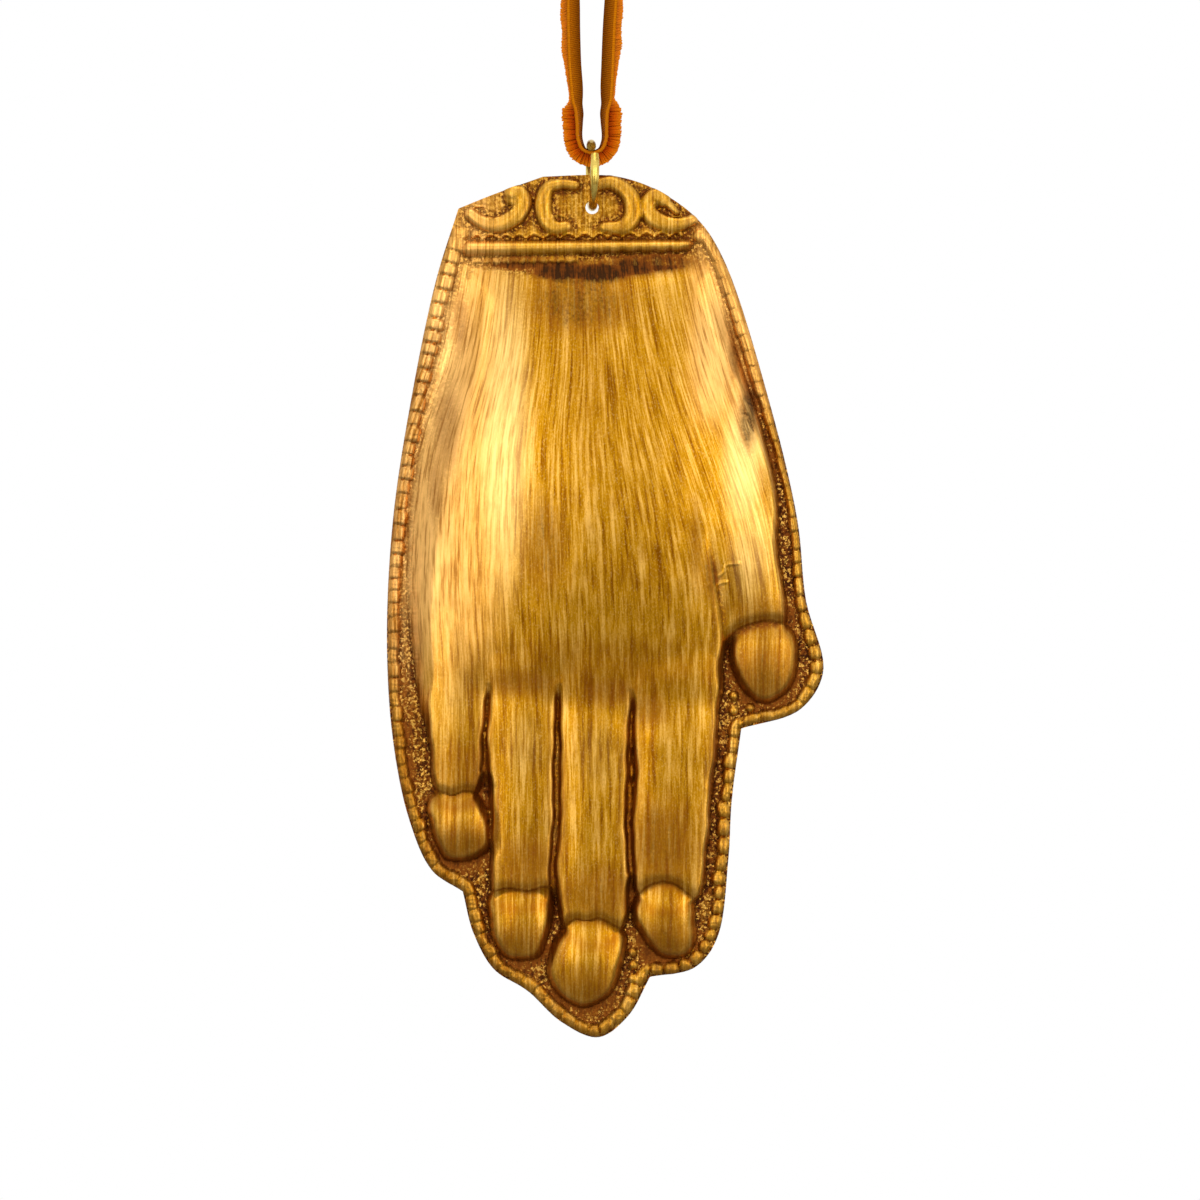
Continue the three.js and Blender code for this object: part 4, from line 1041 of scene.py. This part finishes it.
# Painted highlight as well: the same highest lines are painted lighter, as light falls on their tops
rubbed = np.clip(-dip / RUB_DIP, 0, 1) * RUB_AND_HIGHLIGHT  # the highest lines, which a rag and hands polish
kept_numbers = {
    "front": is_front.astype(float), "ground": ground, "hollow": hollow, "rubbed": rubbed, "smear": smear,
    "stain": stain, "worn": worn, "bare": lit_slope.clip(0, 1),
}
for name, values in kept_numbers.items():
    keep(pressed_hand, name, values)
print("kept on the points of the hand:", ", ".join(kept_numbers))

# %% [markdown]
# ## Hand: the way of the brush
# The gold skin was brushed down the hand, and the strokes fan out with the palm and swing towards the thumb.
# A map of the sheet that runs along the strokes lets one stretched noise draw them all.

# %% Hand: the way of the brush
# Sides of the brush strokes, which fan out with the palm
STROKES_LEFT = [(-14, -9), (-16.2, -21), (-19.7, -32.5), (-21, -46), (-20.5, -60), (-20.5, -101)]
STROKES_RIGHT = [(13.9, -9), (17.7, -22.8), (22, -37.7), (23.5, -50), (23.5, -60), (23.5, -101)]
STROKES_WIDTH = 45
STROKES_SWING = 0.1  # how far the strokes right of the middle swing out towards the thumb
stroke_left, stroke_right = chain(STROKES_LEFT, 40), chain(STROKES_RIGHT, 40)
left = across_at(stroke_left, seen_z)
share = (seen_x - left) / (across_at(stroke_right, seen_z) - left)
swing = STROKES_SWING * fade(-14, -50, seen_z)
stroke = share
for _ in range(6):
    stroke = share - swing * np.sin(math.pi * np.clip((stroke - 0.45) / 0.55, 0, 1))
corner_point = np.empty(len(pressed_hand.data.loops), int)
pressed_hand.data.loops.foreach_get("vertex_index", corner_point)
stroke_map = np.column_stack([stroke * STROKES_WIDTH, seen_z])[corner_point]
pressed_hand.data.uv_layers.new(name="strokes").data.foreach_set("uv", stroke_map.astype(np.float32).ravel())
bpy.ops.object.shade_smooth_by_angle(angle=math.radians(60))
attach(pressed_hand, "hand")
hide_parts("hand_plate")
pressed_hand.data.calc_loop_triangles()
print(f"pressed hand: {len(pressed_hand.data.loop_triangles)} triangles")

# %% [markdown]
# ## Sums in a material
# A finish is a sum of small things: streaks, glaze, flecks. Node by node that is long to write, so one
# small class wraps a socket. Sums with it add Math nodes, and its node method adds any other kind.

# %% Sums in a material
PER_MM = 1000.0  # object coordinates are in metres


class Shade:
    """A socket in a material, for sums and for building further nodes."""

    def __init__(self, tree, socket=None):
        self.tree, self.socket = tree, socket

    def node(self, kind, settings, inputs, output=0):
        """Adds a node: its settings first, then values or links for its sockets."""
        made = self.tree.nodes.new(kind)
        for name, value in settings.items():
            if name == "stops":
                ends = made.color_ramp.elements
                for stop, (at, colour) in ((ends[0], value[0]), (ends[-1], value[-1])):
                    stop.position, stop.color = at, colour
                for at, colour in value[1:-1]:
                    ends.new(at).color = colour
            else:
                setattr(made, name, value)
        for key, value in inputs.items():
            if isinstance(value, Shade):
                self.tree.links.new(value.socket, made.inputs[key])
            else:
                made.inputs[key].default_value = value
        return Shade(self.tree, made.outputs[output])

    def maths(self, operation, one, two=0.0, clamp=False):
        return self.node("ShaderNodeMath", {"operation": operation, "use_clamp": clamp}, {0: one, 1: two})

    def __add__(self, other):
        return self.maths("ADD", self, other)

    def __sub__(self, other):
        return self.maths("SUBTRACT", self, other)

    def __rsub__(self, other):
        return self.maths("SUBTRACT", other, self)

    def __mul__(self, other):
        return self.maths("MULTIPLY", self, other)

    __radd__, __rmul__ = __add__, __mul__

    def held(self):
        """The same value kept between 0 and 1."""
        return self.maths("ADD", self, 0.0, clamp=True)

    def step(self, start, end):
        """0 up to start, 1 from end, and even between them."""
        ends = {"Value": self, "From Min": start, "From Max": end}
        return self.node("ShaderNodeMapRange", {"clamp": True}, ends)

    def mix(self, one, two):
        """From colour one to colour two by this value."""
        return self.node("ShaderNodeMix", {"data_type": "RGBA"}, {0: self, 6: one, 7: two}, output=2)

    def attribute(self, name):
        return self.node("ShaderNodeAttribute", {"attribute_name": name}, {}, output=2)

    def noise(self, place, detail=2.0, rough=0.5):
        """Noise between 0 and 1 with one hill to each unit of the place."""
        values = {"Vector": place, "Scale": 1.0, "Detail": detail, "Roughness": rough}
        return self.node("ShaderNodeTexNoise", {}, values)

    def scaled(self, across, along, up):
        """A place with its three directions scaled."""
        return self.node("ShaderNodeVectorMath", {"operation": "MULTIPLY"}, {0: self, 1: (across, along, up)})

    def per_mm(self, across, along=None, up=None):
        """A place in metres with so many units to a millimetre, alike in all directions if one is given."""
        return self.scaled(across * PER_MM, (along or across) * PER_MM, (up or across) * PER_MM)

    def bump(self, height, deep):
        return self.node("ShaderNodeBump", {}, {"Strength": 1.0, "Distance": deep, "Height": height})


def colour(red, green, blue):
    """A colour as it is read off a screen, 0 to 255, in the linear values that the nodes take."""
    shares = [v / 255 for v in (red, green, blue)]
    return (*(v / 12.92 if v <= 0.04045 else ((v + 0.055) / 1.055) ** 2.4 for v in shares), 1)


def new_finish(name):
    """An empty finish: the material, its surface node, a Shade to build it with and the place on the piece."""
    material = bpy.data.materials.new(name)
    material.use_nodes = True
    shade = Shade(material.node_tree)
    spot = shade.node("ShaderNodeTexCoord", {}, {}, output=3)
    return material, material.node_tree.nodes["Principled BSDF"], shade, spot


def connect(surface, **values):
    """Links or sets sockets of a surface node, with _ for the spaces in their names."""
    for name, value in values.items():
        socket = surface.inputs[name.replace("_", " ")]
        if isinstance(value, Shade):
            value.tree.links.new(value.socket, socket)
        else:
            socket.default_value = value


# %% [markdown]
# ## Finish: brushed antique gold
# The tin has a gold skin that was brushed down its length, then rubbed with a dark glaze that was wiped off
# again. So the raised parts show fine vertical strokes in lighter and darker gold, and the ground and the
# hollows keep the glaze, broken by flecks of gold. Strokes follow the sheet's own map of them.

# %% Finish: brushed antique gold
# Painted light in these colours: painted highlights and a painted light orange on two slopes make parts paler, and
# painted shade darkens the lower palm and the lower ends of the fingers and nails.
GOLD = colour(192, 134, 14)
GOLD_LIGHT = colour(238, 184, 88)
GOLD_DARK = colour(132, 76, 0)
GOLD_PALE = colour(250, 208, 128)
GOLD_BROWN = colour(146, 84, 10)
GLAZE = colour(62, 24, 3)
GLAZE_WARM = colour(124, 64, 13)
GLAZE_DEEP = colour(46, 26, 6)
RUST_AND_SHADE = colour(140, 76, 16)
PAINTED_LIGHT_ORANGE = colour(255, 188, 106)
antique_gold, surface, shade, spot = new_finish("antique_gold")
strokes = shade.node("ShaderNodeUVMap", {"uv_map": "strokes"}, {})
front, ground, marked, rubbed, worn, bare, smear = (
    shade.attribute(name) for name in ("front", "ground", "stain", "rubbed", "worn", "bare", "smear")
)
fine = shade.noise(strokes.scaled(2.7, 0.11, 0), detail=3, rough=0.65)
broad = shade.noise(strokes.scaled(0.6, 0.03, 0), detail=2)
flecks = shade.noise(spot.per_mm(1.9), detail=3, rough=0.65)
smudge = shade.noise(strokes.scaled(1.2, 0.28, 0), detail=4, rough=0.6)
clouds = shade.noise(spot.per_mm(0.16), detail=3)
grain = shade.noise(spot.per_mm(4.4, 4.4, 3), detail=2, rough=0.6)
pits = shade.noise(spot.per_mm(2.7), detail=2, rough=0.6)
hollow = shade.attribute("hollow") * (flecks.step(0.32, 0.56) * 0.55 + 0.45)
stain = (marked + (flecks * 0.7 + smudge * 1.1 + fine * 1.1 - 1.45) * marked.step(0, 0.3)).held()
bits = pits.step(0.5, 0.62) * (1 - stain.step(0.3, 0.7) * 0.85)
raised = 1 - ground
streak = (fine * 0.8 + broad * 0.4 - 0.1).held()
# Brown of the smears, which on the lower palm and at the finger ends is also painted shade
brown = smudge.step(0.5, 0.7) * 0.3 + smear * (streak.step(0.62, 0.4) * 0.5 + 0.35)
gold = streak.step(0.36, 0.5).mix(GOLD_DARK, GOLD)
for amount, skin in (
    (streak.step(0.51, 0.64) * 0.8, GOLD_LIGHT),
    # polished high lines, painted lighter also as their highlight
    (rubbed * 0.6, GOLD_LIGHT),
    (grain.step(0.54, 0.7) * 0.22, GOLD_PALE),
    (grain.step(0.46, 0.3) * 0.35, GOLD_DARK),
    # painted highlight: paler gold where light falls
    (worn * (streak.step(0.38, 0.62) * 0.55 + 0.35), GOLD_PALE),
    # painted light: the two lit slopes painted a paler orange
    (bare * (streak.step(0.4, 0.6) * 0.4 + 0.25), PAINTED_LIGHT_ORANGE),
    (bare * fine.step(0.47, 0.36) * 0.5, GOLD_BROWN),
    (bits * ground * 0.75, GOLD_LIGHT),
    ((brown * (1 - bits * ground * 0.7)).held(), GOLD_BROWN),
):
    gold = amount.mix(gold, skin)
smeared = smudge.step(0.66, 0.38) * 0.75 + streak.step(0.62, 0.4) * 0.35
kept = ground * 0.95 + hollow * 0.8 + stain * (smeared + 0.1) + stain.step(0.7, 1) * 0.25
breaks = flecks.step(0.46, 0.66) * 0.4 + clouds.step(0.4, 0.7) * 0.2 + bits * 1.1
specks = bits * hollow * 0.6
glaze = (kept - breaks * (ground * 0.75 + 0.15) - specks).held() * (front * 0.75 + 0.25)
glaze_colour = flecks.step(0.42, 0.62).mix(GLAZE, GLAZE_WARM)
# Stain colours, which low on the fingers and on the nails are also painted shade
for start, end, amount, skin in ((0.1, 0.4, 0.8, RUST_AND_SHADE), (0.5, 0.8, 0.6, GLAZE), (0.78, 1, 0.85, GLAZE_DEEP)):
    glaze_colour = (stain.step(start, end) * amount).mix(glaze_colour, skin)
connect(
    surface,
    Base_Color=glaze.mix(gold, glaze_colour),
    Metallic=1 - glaze * 0.15,
    Roughness=0.35 + streak * 0.08 + glaze * 0.15,
    Specular_IOR_Level=0.3,
    Normal=shade.bump(fine * (raised * 0.7 + 0.3) + flecks * (ground * 5 + hollow * 2 + 0.25), 0.012 * MM),
)
pressed_hand.data.materials.append(antique_gold)
print("antique gold:", len(antique_gold.node_tree.nodes), "nodes")

# %% [markdown]
# ## Finish: drawn brass
# The ring is bright brass wire, more yellow than the sheet. Drawing it through a die leaves it smooth, and
# handling leaves faint dull patches and a little brown in them.

# %% Finish: drawn brass
drawn_brass, surface, shade, spot = new_finish("drawn_brass")
patches = shade.noise(spot.per_mm(0.9), detail=3)
grain = shade.noise(spot.per_mm(9, 2, 2), detail=2)
dull = patches.step(0.42, 0.68)
connect(
    surface,
    Base_Color=dull.mix(colour(226, 196, 98), colour(176, 138, 52)),
    Metallic=1.0,
    Roughness=0.2 + dull * 0.12 + grain * 0.06,
    Normal=shade.bump(grain, 0.004 * MM),
)
brass_ring.data.materials.append(drawn_brass)
print("drawn brass:", len(drawn_brass.node_tree.nodes), "nodes")

# %% [markdown]
# ## Finish: velvet
# The woven back is a dull gold brown, lighter along its firm edges, with threads that differ a little from
# rib to rib, and with painted light and shade across it: lighter towards its front edge, darker towards its rear.
# The pile's colour is painted shade and light along each tuft: deep red brown between the roots, where shade
# falls, orange at the tips, where light gets in. Where its nap lies flat it is painted paler, as painted sheen.
# Sheen gives the soft rim that short fibres have.

# %% Finish: velvet
woven_back, surface, shade, spot = new_finish("woven_back")
reach = shade.attribute("reach")
edge = shade.maths("ABSOLUTE", reach)
threads = shade.noise(spot.per_mm(2.2, 2.2, 6.5), detail=2, rough=0.6)
rib = shade.attribute("rib")
weft = (threads * 0.7 + rib * 0.2).step(0.05, 0.65)
# Painted light and shade across the ribbon: darker towards its rear edge, lighter towards its front edge
shaded_edge_cloth = weft.mix(colour(98, 44, 0), colour(146, 76, 2))
lit_edge_cloth = weft.mix(colour(200, 104, 0), colour(240, 146, 12))
cloth = reach.step(0.8, -0.8).mix(shaded_edge_cloth, lit_edge_cloth)
connect(
    surface,
    Base_Color=edge.step(0.84, 0.97).mix(cloth, colour(214, 122, 10)),
    Roughness=0.75 - threads * 0.1,
    Specular_IOR_Level=0.02,
    Normal=shade.bump(threads, 0.04 * MM),
)
velvet_pile, surface, shade, spot = new_finish("velvet_pile")
reach = shade.attribute("reach")
tufts = shade.noise(spot.per_mm(3), detail=2)
# Painted shade at the roots of the tufts, painted light at their tips
stops = [(0.0, colour(150, 36, 0)), (0.45, colour(222, 100, 0)), (1.0, colour(250, 150, 18))]
fibre = shade.node("ShaderNodeValToRGB", {"stops": stops}, {"Fac": (reach + tufts * 0.35 - 0.18).held()})
connect(
    surface,
    # Painted sheen: paler where the nap lies flat
    Base_Color=(shade.attribute("rib") * 0.5).mix(fibre, colour(252, 162, 40)),
    Roughness=0.85 - tufts * 0.1,
    Specular_IOR_Level=0.05,
    Sheen_Weight=0.2,
    Sheen_Roughness=0.4,
    Sheen_Tint=colour(240, 140, 40),
)
for piece in (velvet_loop, velvet_knot):
    piece.data.materials.append(woven_back)
    piece.data.materials.append(velvet_pile)
for finish in (woven_back, velvet_pile):
    print(f"{finish.name}: {len(finish.node_tree.nodes)} nodes")

# %% [markdown]
# ## Floor and light
# The ornament hangs before a plain white background, so the sky is white to the camera and in reflections.
# A floor below it and a dark card behind the camera are what the lower palm reflects, and they darken it. Two
# tall narrow softboxes beside the camera draw the bright bands on both sides of the palm. The sky lights
# everything else at a plain level.

# %% Floor and light
FLOOR_Z = -0.3
PALM_MIDDLE = (0.002, 0, -0.1)
SKY_LIGHT = 0.35


def plain_sheet(name, place, turn, sides, finish, grain, greys):
    """A flat sheet of the stage, with a faint mottle between two greys."""
    bpy.ops.mesh.primitive_plane_add(size=1, location=place, rotation=(turn, 0, 0))
    sheet = bpy.context.object
    sheet.name = name
    sheet.scale = (*sides, 1)
    bpy.ops.object.transform_apply(location=False, rotation=True, scale=True)
    material, surface, shade, spot = new_finish(finish)
    dark, light = (colour(*grey) for grey in greys)
    connect(surface, Base_Color=shade.noise(spot.scaled(grain, grain, grain)).mix(dark, light), Roughness=0.9)
    sheet.data.materials.append(material)
    return sheet


def softbox(name, place, width, height, watts):
    """A rectangular lamp that faces the middle of the palm."""
    bpy.ops.object.light_add(type="AREA", location=place)
    lamp = bpy.context.object
    lamp.name = name
    lamp.data.shape = "RECTANGLE"
    lamp.data.size, lamp.data.size_y = width, height
    lamp.data.energy = watts
    lamp.rotation_euler = (Vector(PALM_MIDDLE) - Vector(place)).to_track_quat("-Z", "Y").to_euler()
    lamp.visible_camera = False


floor = plain_sheet("floor", (0, -0.5, FLOOR_Z), 0, (2, 2), "paper", 6, [(198, 197, 194), (208, 207, 204)])
card = plain_sheet("card", (0, -0.85, -0.235), math.pi / 2, (1.4, 0.13), "felt", 60, [(60, 60, 60), (76, 76, 76)])
card.visible_camera = False
softbox("left_softbox", (-0.22, -0.6, -0.06), 0.1, 0.5, 0.8)
softbox("right_softbox", (0.33, -0.56, -0.06), 0.1, 0.5, 0.95)
softbox("top_softbox", (0, -0.3, 0.5), 0.5, 0.3, 1.0)

sky = bpy.data.worlds.new("sky")
sky.use_nodes = True
bpy.context.scene.world = sky
rays = sky.node_tree.nodes.new("ShaderNodeLightPath")
kinds = ("Camera", "Glossy", "Transmission")
seen_white = sum(Shade(sky.node_tree, rays.outputs[f"Is {kind} Ray"]) for kind in kinds)
strength = SKY_LIGHT + seen_white.held() * (1 - SKY_LIGHT)
backdrop = sky.node_tree.nodes["Background"]
backdrop.inputs["Color"].default_value = (1, 1, 1, 1)
sky.node_tree.links.new(strength.socket, backdrop.inputs["Strength"])
bpy.context.scene.view_settings.view_transform = "Standard"
print("floor, card, three softboxes and a white sky")
